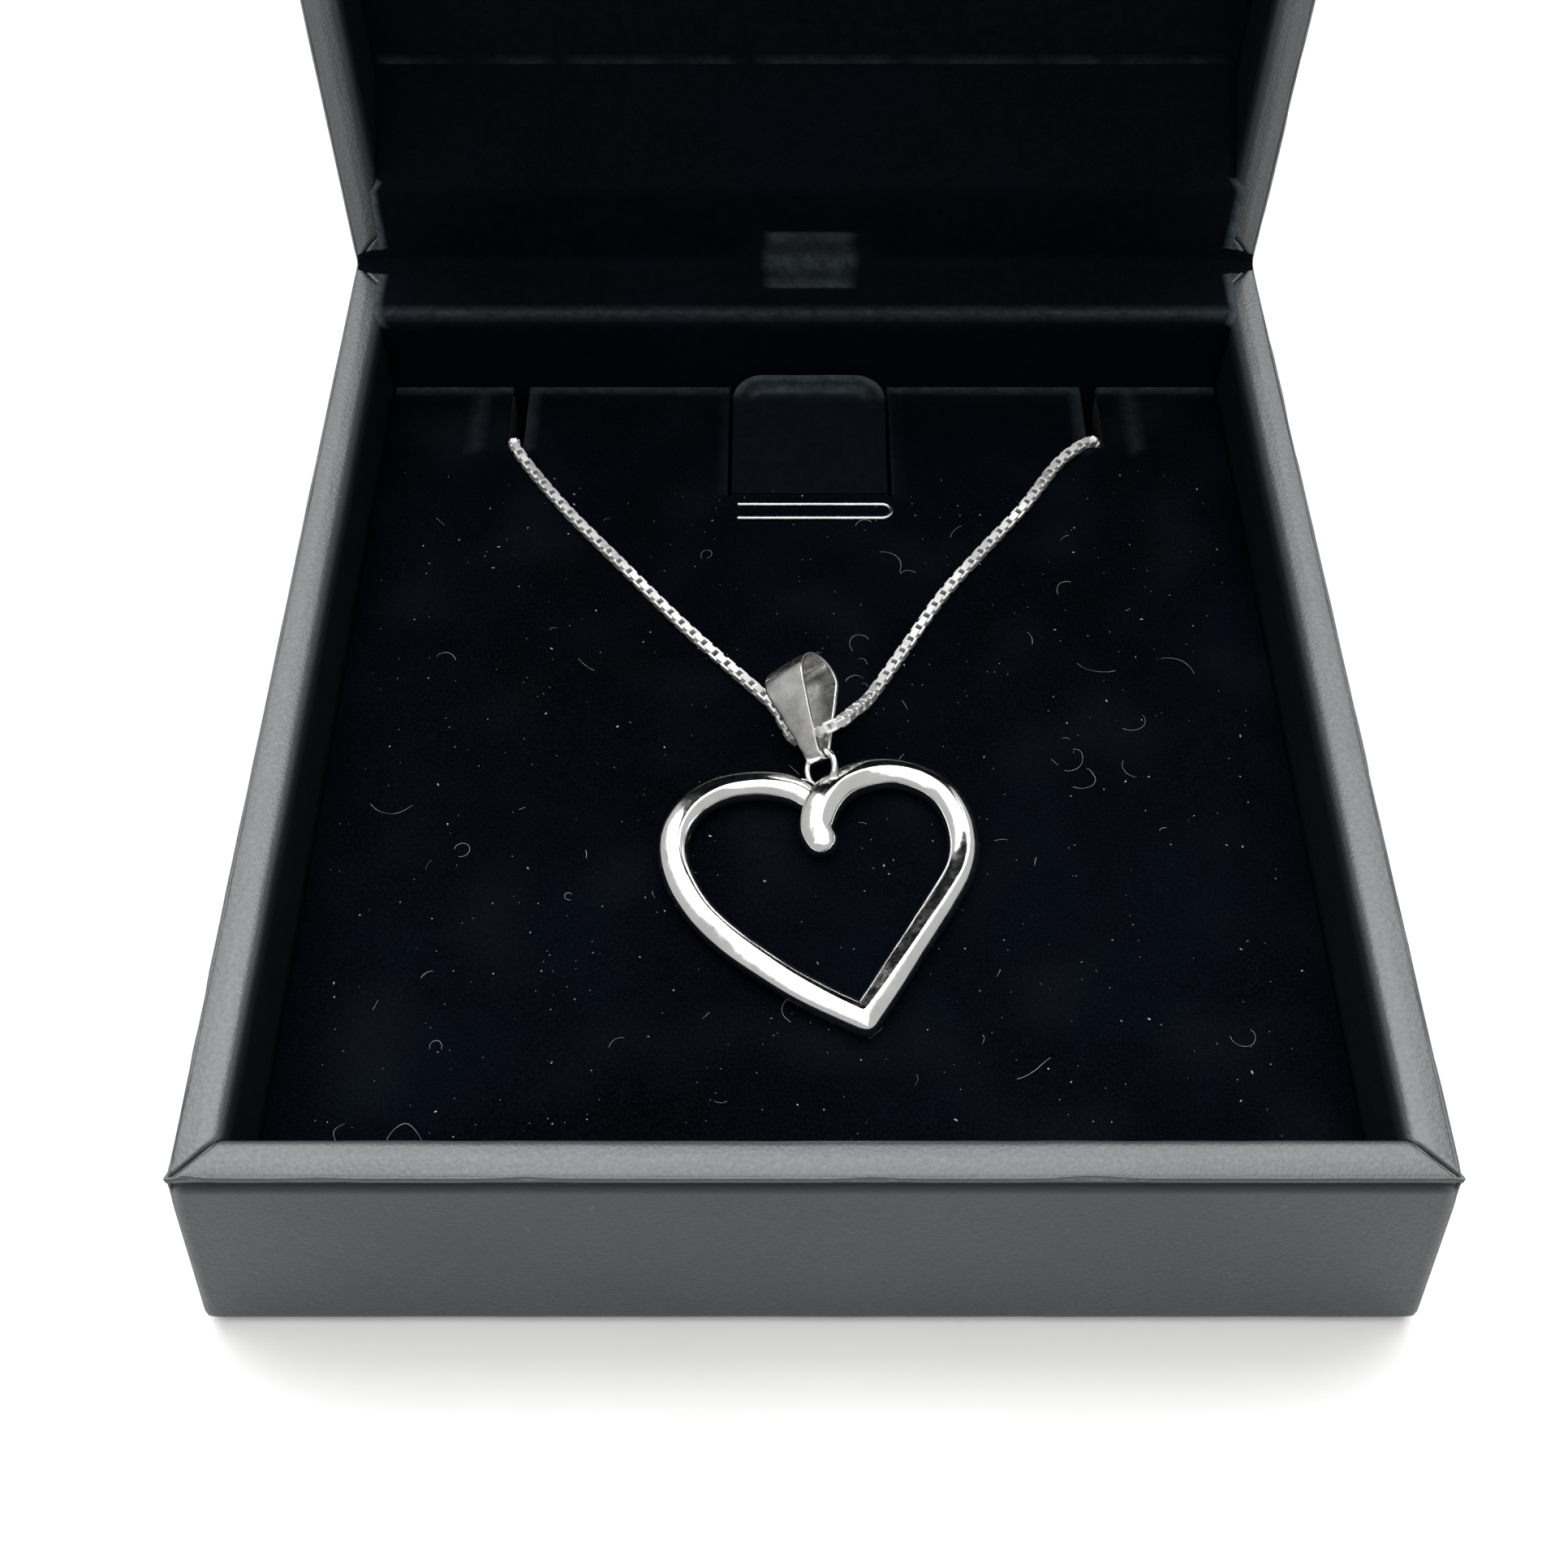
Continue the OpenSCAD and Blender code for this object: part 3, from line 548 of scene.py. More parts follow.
def hankPoints(spec):
    # the section is filled from the bottom: inwards, up, outwards, up and inwards again
    inner, outer = spec["inner"], spec["outer"]
    zLow, zMid, zTop = spec["levels"]
    stops = [(0, outer, zLow), (2, inner, zLow), (2.5, inner, zMid), (4.5, outer, zMid), (5, outer, zTop),
             (7, inner, zTop), (7.5, inner, zTop + 0.9)]
    points = []
    for count in range(int(spec["turns"] * spec["perTurn"]) + 1):
        turn = count / spec["perTurn"]
        i = max(j for j in range(len(stops) - 1) if stops[j][0] <= turn)
        share = (turn - stops[i][0]) / (stops[i + 1][0] - stops[i][0])
        radius, level = (stops[i][k] + share * (stops[i + 1][k] - stops[i][k]) for k in (1, 2))
        angle = -2 * math.pi * turn
        points.append((spec["centre"][0] + radius * math.cos(angle),
                       spec["centre"][1] + radius * math.sin(angle), level))
    return points


def linkMesh(bm, place, spec):
    # one square link of flat wire: a hollow frame with bevelled corners
    halfLong, halfThick, halfWide = spec["linkLong"] / 2, spec["thick"] / 2, spec["linkWide"] / 2
    rings = []
    wire = spec["wire"]
    for inset, width in ((0, halfWide), (0, -halfWide), (wire, -halfWide), (wire, halfWide)):
        corners = [(sx * (halfLong - inset), sy * (halfThick - inset), width)
                   for sx, sy in ((1, 1), (-1, 1), (-1, -1), (1, -1))]
        rings.append([bm.verts.new(place @ Vector(c)) for c in corners])
    for i in range(4):
        a, b = rings[i], rings[(i + 1) % 4]
        for k in range(4):
            m = (k + 1) % 4
            bm.faces.new((a[k], b[k], b[m], a[m]))


def makeChain():
    spec = chainSpec
    control = tailRoute + hankPoints(hankSpec) + chainRoute
    fine = smoothCurve(control, spec["steps"])
    lengths = [0.0]
    for a, b in zip(fine, fine[1:]):
        lengths.append(lengths[-1] + (b - a).length)
    count = round(lengths[-1] / spec["pitch"]) + 1
    line = evenLine(fine, count)
    bm = bmesh.new()
    side = Vector((0, 0, 1))
    for i, here in enumerate(line):
        along = (line[min(i + 1, count - 1)] - line[max(i - 1, 0)]).normalized()
        if abs(along.z) < 0.5:
            side += Vector((0, 0, math.copysign(spec["upright"], side.z)))
        side = (side - along * side.dot(along)).normalized()
        roll = math.radians(90 * (i % 2)) + waver((i, 0, 0), spec["twistOver"], spec["twist"])
        turned = Matrix.Rotation(roll, 3, along) @ side
        across = along.cross(turned)
        place = Matrix((along, turned, across)).transposed().to_4x4()
        place.translation = here
        linkMesh(bm, place, spec)
    bmesh.ops.recalc_face_normals(bm, faces=bm.faces[:])
    piece = makePiece(bm, "boxChain", chainSilver, "insert", smooth=False)
    addBevel(piece, spec["bevel"], 1)
    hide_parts("chain", "chain_hank", "chain_tail")
    print("chain:", count, "links,", round(lengths[-1]), "mm")


makeChain()

# wraps: leatherette drawn over each wall, with a rounded rim and a crease below it

wrapSpec = {"skin": 0.3, "turnUnder": 8.0, "corner": 0.7, "seam": 0.32, "creaseAt": 0.92,
            "creaseIn": 0.42, "reach": 0.7071, "rounding": 0.293, "middle": 41, "footRound": 1.3,
            "bridgeOut": 0.74, "bridgeDown": 0.10, "bridgeDeep": 1.4, "fine": 1.6, "fineBack": 1.2,
            "knuckleRoom": 1.7, "knuckleHalf": 4.9}
endRings = [0, 0.1, 0.22, 0.38, 0.6, 0.95, 1.5, 2.4]
farOff = 9.0  # further from an end than anything there reaches


def wrapProfile(height, slope, floorAt, underAt):
    # (distance in from the rim, depth from the rim plane), from the turned edge to the wall's inside
    spec = wrapSpec
    crease = spec["creaseAt"]
    corners = [(underAt, height, 0), (slope * height, height, 0.9),
               (slope * (crease + 0.75), crease + 0.75, 1.0),
               (spec["creaseIn"], crease, 0.30), (-0.04, crease - 0.5, 0.42), (0.30, 0.10, 0.8),
               (wallT / 2, -0.0, 3.0), (wallT - 0.25, 0.12, 0.8), (wallT, 0.9, 0.9), (wallT, floorAt, 0)]
    return finerLine(filletLine(corners, 4), spec["fine"])


def backProfile(height, slope, underAt):
    # the back's covering ends below the rim, under the hinge cloth
    corners = [(underAt, height, 0), (slope * height, height, 0.9), (slope * 0.5, 0.45, 0.5),
               (3.0, 0.42, 0)]
    return finerLine(filletLine(corners, 4), wrapSpec["fineBack"])


def makeWrap(side, profile, isLid):
    spec = wrapSpec
    sideName, body = sideNames[side], "lid" if isLid else "base"
    place = lidPlace if isLid else basePlace
    isBack = sideName == "back"
    halfWidth = rimX if side % 2 == 0 else rimY
    depth = rimY if side % 2 == 0 else rimX
    middle = spec["middle"]
    # (which end, distance from it) near the ends, and (0, share of the length) between
    rings = [(-1, e) for e in endRings] + [(0, 2 * k / (middle + 1) - 1) for k in range(1, middle + 1)]
    rings += [(1, e) for e in reversed(endRings)]
    spin = Matrix.Rotation(math.pi / 2 * side, 4, "Z")
    lastEnd = endRings[-1]
    seam, corner = spec["seam"], spec["corner"]
    reach = corner * spec["reach"]
    footAt, footRound = profile[0].y, spec["footRound"]
    slope = lean if isLid else -lean
    hingeEnd = {1: 1, 3: -1}.get(side, 0)
    bridgeDeep = spec["bridgeDeep"]

    def pointAt(k, i):
        inward, q = profile[k]
        end, value = rings[i]
        gap = value if end else farOff
        alongWall = value * halfWidth if not end else end * (halfWidth - value)
        before, after = profile[max(k - 1, 0)], profile[min(k + 1, len(profile) - 1)]
        tangent = (after - before).normalized()
        inwards = Vector((-tangent.y, tangent.x))
        atHinge = end != 0 and end == hingeEnd
        rounding = spec["rounding"] * corner * max(0, 1 - gap / reach) ** 2
        meeting = (side + (end > 0)) % 4
        ragged = 0.75 + waver((meeting * 5 + inward, 4, 2), 0.7, 0.7)
        groove = seam * max(0, 1 - gap / 0.5) ** 2 * ragged
        outer = ease((wallT - 0.2 - inward) / 0.6)
        groove *= max(0.0, inwards.y) ** 2 * (0 if isBack else 1)
        push = outer * (rounding + groove) * (0.2 if atHinge and q < bridgeDeep else 1.0)
        uneven = waver((alongWall, side * 7 + isLid * 3, inward * 2 + q * 0.3), 3.0, 0.05)
        push += uneven * min(1, gap / 0.6)
        inward, q = profile[k] + inwards * push
        if q < 2.0 and inward < 1.0 and not isBack:
            # the strip and the crease below it run out at the corner
            flat = max(0, 1 - gap / 1.5) ** 2
            inward += flat * (slope * q + 0.16 - inward)
        if q > footAt - footRound and inward < 2 and gap < footRound:
            q -= 0.5 * (1 - gap / footRound) ** 2 * (1 - (footAt - q) / footRound)
        along = end * (halfWidth - inward - value) if end else value * (halfWidth - inward - lastEnd)
        point = spin @ Vector((along, -depth + inward, q))
        # the covering bridges the hinge at both ends of the back edge
        if abs(point.x) > wellX and point.y > rimY - wallT and q < bridgeDeep:
            bridge = ease((point.y - rimY + 1.3) / 0.9) * ease((bridgeDeep - q) / 0.8)
            point.y += spec["bridgeOut"] * bridge
            point.z -= spec["bridgeDown"] * bridge
        if isBack and abs(point.x) > wellX and q < 0.6:
            point.z -= 0.4 * min(1, (abs(point.x) - wellX) / 0.8)
        return point

    bm = bmesh.new()
    row, ring = sweepRings(bm, len(profile), len(rings), pointAt)
    top = [k for k, (inward, q) in enumerate(profile) if q < 0.6]
    faceTowards(bm, (0, 0, -1), top, row)

    def placeOf(vert):
        end, value = rings[vert[ring]]
        return (*profile[vert[row]], value if end else farOff)

    # painted shade in the crease below the rim and growing down the inside of the wall, plus a dark line along
    # the mitre seam
    def creaseAt(vert):
        inward, q, gap = placeOf(vert)
        spread = 0.42 if q > spec["creaseAt"] else 0.55
        depth = 0.75 if inward < 1 and not isBack else 0
        line = bell(q - spec["creaseAt"], spread) * depth
        seamLine = 0.95 * max(0, 1 - gap / 0.20) * ease((inward - 0.3) / 0.6) if q < 1 else 0
        inside = 0.85 * min(1, max(0, q - 0.35) / 1.8) if inward > wallT - 0.5 else 0
        return min(1, line + seamLine + inside)

    def wornAt(vert):
        inward, q, gap = placeOf(vert)
        edge = bell(gap - 0.42, 0.22) if q > 1.2 and inward < 1 else 0
        inner = bell(inward - wallT, 0.25) * 0.25 if q < 0.6 else 0
        return 0.8 * max(edge, inner) * (0.7 + waver(vert.co, 2.5, 0.6))

    def polishAt(vert):
        inward, q = profile[vert[row]]
        return ease((spec["creaseAt"] - q) / 0.3) if inward < wallT + 0.1 else 0.0

    paint(bm, "crease", creaseAt)
    paint(bm, "worn", wornAt)
    paint(bm, "polish", polishAt)
    bmesh.ops.transform(bm, matrix=place, verts=bm.verts[:])
    if place.determinant() < 0:
        bmesh.ops.reverse_faces(bm, faces=bm.faces[:])
    if isBack:
        clearKnuckles(bm)
    piece = makePiece(bm, f"{body}Wrap.{sideName}", leatherette, body)
    addSolidify(piece, spec["skin"])
    addSubdivision(piece, 1)
    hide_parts(f"{body}_{sideName}_wrap")


def clearKnuckles(bm):
    # the covering stops short of the hinge's barrel
    room, half = wrapSpec["knuckleRoom"], wrapSpec["knuckleHalf"]
    for vert in bm.verts:
        away = Vector((0, vert.co.y - hingePos.y, vert.co.z - hingePos.z))
        if abs(vert.co.x - hingeX) < half and away.length < room:
            away = away.normalized() * room if away.length > 0.01 else Vector((0, 0, -room))
            vert.co.y = hingePos.y + away.y
            vert.co.z = hingePos.z + away.z


sideNames = ("front", "right", "back", "left")
lidHeight = 18.0
lidTurned = {"short": 0.45, "inside": 15.5, "under": 3.6}
for side, sideName in enumerate(sideNames):
    isBack = sideName == "back"
    baseFoot = baseTop - low("base_front_wrap").z - 0.02
    baseLine = (backProfile(baseFoot, -lean, wrapSpec["turnUnder"]) if isBack
                else wrapProfile(baseFoot, -lean, baseTop - wellFloor, wrapSpec["turnUnder"]))
    makeWrap(side, baseLine, False)
    lidFoot = lidHeight - lidTurned["short"]
    lidLine = (backProfile(lidFoot, lean, lidTurned["under"]) if isBack
               else wrapProfile(lidFoot, lean, lidTurned["inside"], lidTurned["under"]))
    makeWrap(side, lidLine, True)
print("wraps ready")


# lid top: a separate sheet glued over the turned edges

coverSpec = {"thick": 0.42, "round": 0.35, "cells": 36, "sunk": 0.12, "inset": 0.1}


def makeCover():
    spec = coverSpec
    halfX = rimX - lean * lidHeight
    halfY = rimY - lean * lidHeight
    inset = spec["inset"]
    bm = newGrid([spec["cells"]] * 2, (halfX - inset, halfY - inset))
    for vert in bm.verts:
        vert.co.z = lidHeight - spec["sunk"] + waver(vert.co, 14, 0.08)
    addSkirt(bm, lidHeight - spec["thick"])
    top = [e for e in bm.edges if not e.is_boundary and abs(e.calc_face_angle(0)) > 1]
    roundEdges(bm, top, spec["round"])
    paint(bm, "worn", lambda v: 0.4 if max(abs(v.co.x) / halfX, abs(v.co.y) / halfY) > 0.985 else 0.0)
    faceSkin(bm, 1)
    piece = makePiece(bm, "lidTopCover", leatherette, "lid", place=lidPlace)
    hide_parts("lid_top_cover")


makeCover()

# hinge cloth: one velvet strip from the well's back, over the hinge and up to the lid's panel,
# with a tab at each end of the fold

clothSpec = {"proud": 0.07, "over": 0.75, "rings": 90, "points": 110, "fold": 1.0, "foldAtHinge": 4.4,
             "skin": 0.3, "tab": 3.0, "tabReach": 1.3, "flatTo": 44.4, "lidFrom": 5.2, "slopeFrom": 8.2,
             "slopeTo": 15.5, "slopeTop": 8.5, "plainAt": 20.0, "patchHalf": 4.6, "patchReach": 5.2}


def lidPoint(inward, height):
    place = lidPlace @ Vector((0, rimY - inward, height))
    return place.y, place.z


def clothLine(x):
    spec = clothSpec
    proud, slopeTo, slopeTop = spec["proud"], spec["slopeTo"], spec["slopeTop"]
    nearHinge = ease((7.0 - abs(x - hingeX)) / 2.0)
    fold = spec["fold"] + nearHinge ** 2 * (spec["foldAtHinge"] - spec["fold"])
    wallY, topZ = wellBack - 0.05, baseTop + proud
    lidPlane = lidPoint(spec["slopeFrom"], -proud)
    corner = (lidPoint(0, -proud)[0], topZ)
    flatEnd, lidStart = (spec["flatTo"], topZ), lidPoint(spec["lidFrom"], -proud)
    well = filletLine([(wallY, wellFloor + 0.2, 0), (wallY, topZ, 0.8), (*flatEnd, 0)], 8)
    bend = filletLine([(*flatEnd, 0), (*corner, fold), (*lidStart, 0)], 8)
    slope = filletLine([(*lidStart, 0), (*lidPlane, 0.8), (*lidPoint(slopeTo, slopeTop), 0.5),
                        (*lidPoint(slopeTo + 1.6, slopeTop + 0.45), 0)], 8)
    third = spec["points"] // 3
    return evenLine(well, third) + evenLine(bend, third)[1:] + evenLine(slope, third)[1:]


def makeHingeCloth():
    spec = clothSpec
    rings = spec["rings"]
    count = 3 * (spec["points"] // 3) - 2
    shares = [2 * i / (rings - 1) - 1 for i in range(rings)]
    middleLine = clothLine(spec["plainAt"])
    lines = [clothLine(s * wellX) for s in shares]
    reach = spec["tabReach"]

    def halfAt(k):
        # the strip lies over the rims where it's flat, and between the walls elsewhere; its tabs
        # cover the gap between the wraps at both ends of the hinge
        y, z = middleLine[k]
        if abs(y - lidPoint(0, 0)[0]) < reach and abs(z - baseTop) < reach:
            return wellX + spec["tab"]
        inWall = z < baseTop - 0.25 or y > lidPoint(0, 0)[0] + 0.45
        return wellX - 0.12 if inWall else wellX + spec["over"]

    halves = [halfAt(k) for k in range(count)]
    near = [halves[max(0, k - 1):k + 2] for k in range(count)]
    halves = [sum(few) / len(few) for few in near]

    def pointAt(k, i):
        y, z = lines[i][k]
        s = shares[i]
        fray = waver((k * 1.7, s * 50, 4), 1.3, 0.10) + waver((k, s * 9, 8), 6.0, 0.18)
        crook = -0.3 * (z - baseTop) / 8 if s < 0 else 0.15 * (z - baseTop) / 8
        edge = max(0, abs(s) - 0.97) / 0.03
        half = halves[k] + (fray + crook if halves[k] > wellX else 0) * edge
        lift = waver((s * wellX, k * 0.45, 3), 4.0, 0.035) * (1 - edge)
        return Vector((s * half, y - lift, z + lift))

    bm = bmesh.new()
    row, ring = sweepRings(bm, count, rings, pointAt)
    topRows = [k for k, (y, z) in enumerate(middleLine) if abs(z - baseTop - spec["proud"]) < 0.01]
    faceTowards(bm, (0, 0, 1), topRows, row)
    pin = Vector((hingePos.y, hingePos.z))
    foldRow = min(range(count), key=lambda k: (middleLine[k] - pin).length)
    frontRow = min(topRows)
    step = (middleLine[-1] - middleLine[-2]).length

    # lighter velvet: frayed tab edges as wear, a painted highlight along the front edge, and a banded lighter
    # patch over the hinge
    def wearAndHighlightAt(vert):
        s, k = shares[vert[ring]], vert[row]
        x = vert.co.x - hingeX
        edgeLine = 1.6 if abs(s) > 0.99 and wellX < halves[k] < wellX + 1 else 0
        frontLine = 0.5 * bell((k - frontRow) * step, 0.5)
        onHinge = abs(k - foldRow) * step < spec["patchReach"]
        patch = max(0, 1 - (abs(x) / spec["patchHalf"]) ** 12) if onHinge else 0
        bands = 0.72 + 0.28 * math.cos((k - foldRow) * step * 1.3)
        return max(edgeLine, frontLine, patch * bands * 0.55, 0.03)

    paint(bm, "wearAndHighlight", wearAndHighlightAt)
    piece = makePiece(bm, "hingeCloth", velvet, None)
    addSolidify(piece, spec["skin"])
    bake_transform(piece)
    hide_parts("base_hinge_cloth", "lid_hinge_cloth")


makeHingeCloth()

# velvet pads

padSpec = {"skin": 0.42, "round": 0.558, "slitAt": 28.5, "slitHalf": 0.85, "slitFront": 31.6,
           "flapHalf": 7.9, "flapFront": flapPos.y - 0.3, "recess": 1.6, "cell": 1.25}


def cutAcross(bm, place, normal):
    bmesh.ops.bisect_plane(bm, geom=bm.verts[:] + bm.edges[:] + bm.faces[:], dist=1e-5, plane_co=place,
                           plane_no=normal)


def facesIn(bm, xRange, yRange):
    return [f for f in bm.faces if xRange[0] < f.calc_center_median().x < xRange[1]
            and yRange[0] < f.calc_center_median().y < yRange[1]]


def makeInsertPad():
    spec = padSpec
    lowCorner, highCorner = low("insert_velvet"), high("insert_velvet")
    width, length = highCorner.x - lowCorner.x, highCorner.y - lowCorner.y
    centre = ((lowCorner + highCorner) / 2).xy.to_3d() + Vector((0, 0, padTop))
    cells = (round(width / spec["cell"]), round(length / spec["cell"]))
    bm = newGrid(cells, (width / 2, length / 2), centre)
    slits = [(s * spec["slitAt"] - spec["slitHalf"], s * spec["slitAt"] + spec["slitHalf"])
             for s in (-1, 1)]
    recess = (hingeX - spec["flapHalf"], hingeX + spec["flapHalf"])
    for x in (*slits[0], *slits[1], *recess):
        cutAcross(bm, (x, 0, 0), (1, 0, 0))
    for y in (spec["slitFront"], spec["flapFront"]):
        cutAcross(bm, (0, y, 0), (0, 1, 0))
    back = highCorner.y
    for slit in slits:
        bmesh.ops.delete(bm, geom=facesIn(bm, slit, (spec["slitFront"], back)), context="FACES")
    sunk = facesIn(bm, recess, (spec["flapFront"], back))
    grown = newVerts(bmesh.ops.extrude_face_region(bm, geom=sunk))
    bmesh.ops.delete(bm, geom=sunk, context="FACES_ONLY")
    for vert in grown:
        vert.co.z -= spec["recess"]
    stray = [f for f in bm.faces if all(abs(v.co.y - back) < 1e-4 for v in f.verts)]
    bmesh.ops.delete(bm, geom=stray, context="FACES")
    addSkirt(bm, padBase + 0.02)
    faceSkin(bm, 1)
    sharp = [e for e in bm.edges if len(e.link_faces) == 2 and e.calc_face_angle(0) > 1
             and min(v.co.z for v in e.verts) > padTop - 0.1]
    roundEdges(bm, sharp, spec["round"], clamp_overlap=True)
    for vert in bm.verts:
        if vert.co.z > padTop - 0.05:
            edge = edgeGap(vert.co, lowCorner, highCorner)
            unevenness = waver(vert.co, 9, 0.07) + waver(vert.co, 2.4, 0.025)
            vert.co.z += unevenness - 0.22 * math.exp(-edge / 1.6)

    # lighter velvet: a painted highlight along the back edge, lighter lines by the slits and the flap's recess,
    # and faint brushed wear
    def wearAndHighlightAt(vert):
        x, y = vert.co.x, vert.co.y
        if vert.co.z < padTop - 1.2:
            return 0.0
        backLine = 0.5 * bell(highCorner.y - y, 0.7)
        lines = [0.0]
        if highCorner.y - y < 9:
            for s in (-1, 1):
                besideSlit = abs(x - s * (spec["slitAt"] + 1.6))
                lines.append(0.25 * bell(besideSlit - 2.6, 0.45))
        if y > spec["flapFront"]:
            lines.append(0.1 * bell(abs(x - hingeX) - spec["flapHalf"], 0.4))
        brushed = 0.05 * max(0, noise.noise(Vector((x, y, 0)) / 7.5))
        return max(backLine, brushed, *lines)

    paint(bm, "wearAndHighlight", wearAndHighlightAt)
    piece = makePiece(bm, "insertPad", velvet, "insert")
    addSolidify(piece, spec["skin"])
    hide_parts("insert_velvet")


panelSpec = {"cells": (64, 60), "face": 8.6, "back": 9.08, "toHinge": 15.9, "gap": 0.05, "round": 0.4}


def makeLidPanel():
    spec = panelSpec
    lowCorner = Vector((-wellX, wellFront, 0))
    highCorner = Vector((wellX, rimY - spec["toHinge"], 0))
    size = highCorner - lowCorner
    face = spec["face"]
    half = (size.x / 2 - spec["gap"], size.y / 2)
    bm = newGrid(spec["cells"], half, (lowCorner + highCorner) / 2)
    for vert in bm.verts:
        vert.co.z = face
    addSkirt(bm, spec["back"])
    faceSkin(bm, -1)
    top = [e for e in bm.edges if len(e.link_faces) == 2 and e.calc_face_angle(0) > 1]
    roundEdges(bm, top, spec["round"])
    for vert in bm.verts:
        if vert.co.z < face + 0.05:
            edge = edgeGap(vert.co, lowCorner, highCorner)
            vert.co.z += waver(vert.co, 10, 0.06) + 0.1 * math.exp(-edge / 1.5) - 0.04

    # painted highlight along the panel's back edge, broken along its length and fainter at the sides
    def wearAndHighlightAt(vert):
        line = 0.8 * bell(highCorner.y - vert.co.y, 0.5)
        broken = 0.6 + waver((vert.co.x, 3, 1), 3.0, 0.8)
        inside = 1 if abs(vert.co.x) < wellX - 0.8 else 0.3
        return max(0.05, line * broken * inside)

    paint(bm, "wearAndHighlight", wearAndHighlightAt)
    piece = makePiece(bm, "lidPanel", panelVelvet, "lid", place=lidPlace)
    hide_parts("lid_pad_velvet")


makeInsertPad()
makeLidPanel()
print("pads ready")

# flap: velvet over a card tongue, with its end raised; the end is drawn lighter, partly wear and partly painted
# highlight

flapSpec = {"width": 15.0, "length": 14.2, "skin": 0.4, "round": 3.0, "cells": (30, 28)}


def makeFlap():
    spec = flapSpec
    half, length, radius = spec["width"] / 2, spec["length"], spec["round"]
    bm = newGrid(spec["cells"], (half, length / 2), (0, length / 2, 0))
    for vert in bm.verts:
        # the free corners are drawn in to arcs
        u, v = (abs(vert.co.x) - half + radius) / radius, (vert.co.y - length + radius) / radius
        if u > 0 and v > 0:
            scale = max(u, v) / math.hypot(u, v)
            vert.co.x = math.copysign(half - radius + u * scale * radius, vert.co.x)
            vert.co.y = length - radius + v * scale * radius
        vert.co.z = waver(vert.co, 3.0, 0.05)

    # the raised end's light lines: partly wear at the tip, partly painted highlight along its edge
    def wearAndHighlightAt(vert):
        x, y = vert.co.x, vert.co.y
        u, v = max(0.0, abs(x) - half + radius), max(0.0, y - length + radius)
        edge = min(half - abs(x), length - y, radius - math.hypot(u, v) if u and v else farOff)
        end = ease((y - length + 3.2) / 1.8)
        lines = bell(edge - 0.2, 0.35) + 0.8 * bell(edge - 1.9, 0.35)
        return end * min(1.0, 0.25 + lines) + 0.05

    paint(bm, "wearAndHighlight", wearAndHighlightAt)
    place = Matrix.Translation(flapPos) @ Matrix.Rotation(flapAngle, 4, "X")
    piece = makePiece(bm, "flapVelvet", velvet, "flap", place=place)
    addSolidify(piece, spec["skin"])
    addBevel(piece, 0.12, 2)
    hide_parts("flap_velvet")


makeFlap()

# heart: one ribbon with a ridge, from under the cleft round the tip and over the cleft

heartSpec = {"wide": 2.7, "high": 2.2, "steps": 4, "tipTurn": 42.4}
heartMid = padTop + 0.2 + heartSpec["high"] / 2
leftFlank = [
    (0.9, -12.2, -0.2), (-0.9, -10.9, -0.1), (-2.8, -10.4, 0), (-4.8, -10.3, 0), (-7.3, -10.8, 0),
    (-9.4, -12.2, 0), (-10.7, -14.1, 0), (-11.2, -16.3, 0), (-10.9, -18.7, 0), (-9.9, -21.2, 0),
    (-8.4, -23.5, 0), (-6.2, -25.8, 0), (-3.6, -27.9, 0), (-1.1, -29.7, 0), (1.4, -31.2, 0),
    (4.1, -32.6, 0)]
rightFlank = [
    (4.1, -32.6, 0), (5.7, -30.1, 0), (7.5, -27.1, 0), (9.3, -24.1, 0), (10.9, -21.4, 0), (12.2, -18.9, 0),
    (12.7, -16.4, 0), (12.4, -13.8, 0), (11.4, -11.5, 0), (9.7, -9.9, 0), (7.4, -9.1, 0.1),
    (5.2, -9.3, 0.2), (3.2, -10.2, 0.4), (1.8, -11.6, 0.6), (0.9, -13.3, 0.5), (0.6, -15, 0.2), (1.2, -16.3, 0)]


sharpRows = {3: 0.25, 5: 0.75, 7: 0.25}  # the ridge and the edges beside it


def ribbonSection(ridge):
    # (towards the heart's inside, up), in half widths and half heights; the ridge moves sideways
    return [(0.62, -1.0), (0.93, -0.62), (1.0, -0.1), (0.90, 0.38), (0.5 + 0.4 * ridge, 0.78),
            (ridge, 1.0), (-0.5 + 0.4 * ridge, 0.80), (-0.90, 0.40), (-1.0, -0.1), (-0.93, -0.62),
            (-0.62, -1.0), (0, -1.0)]


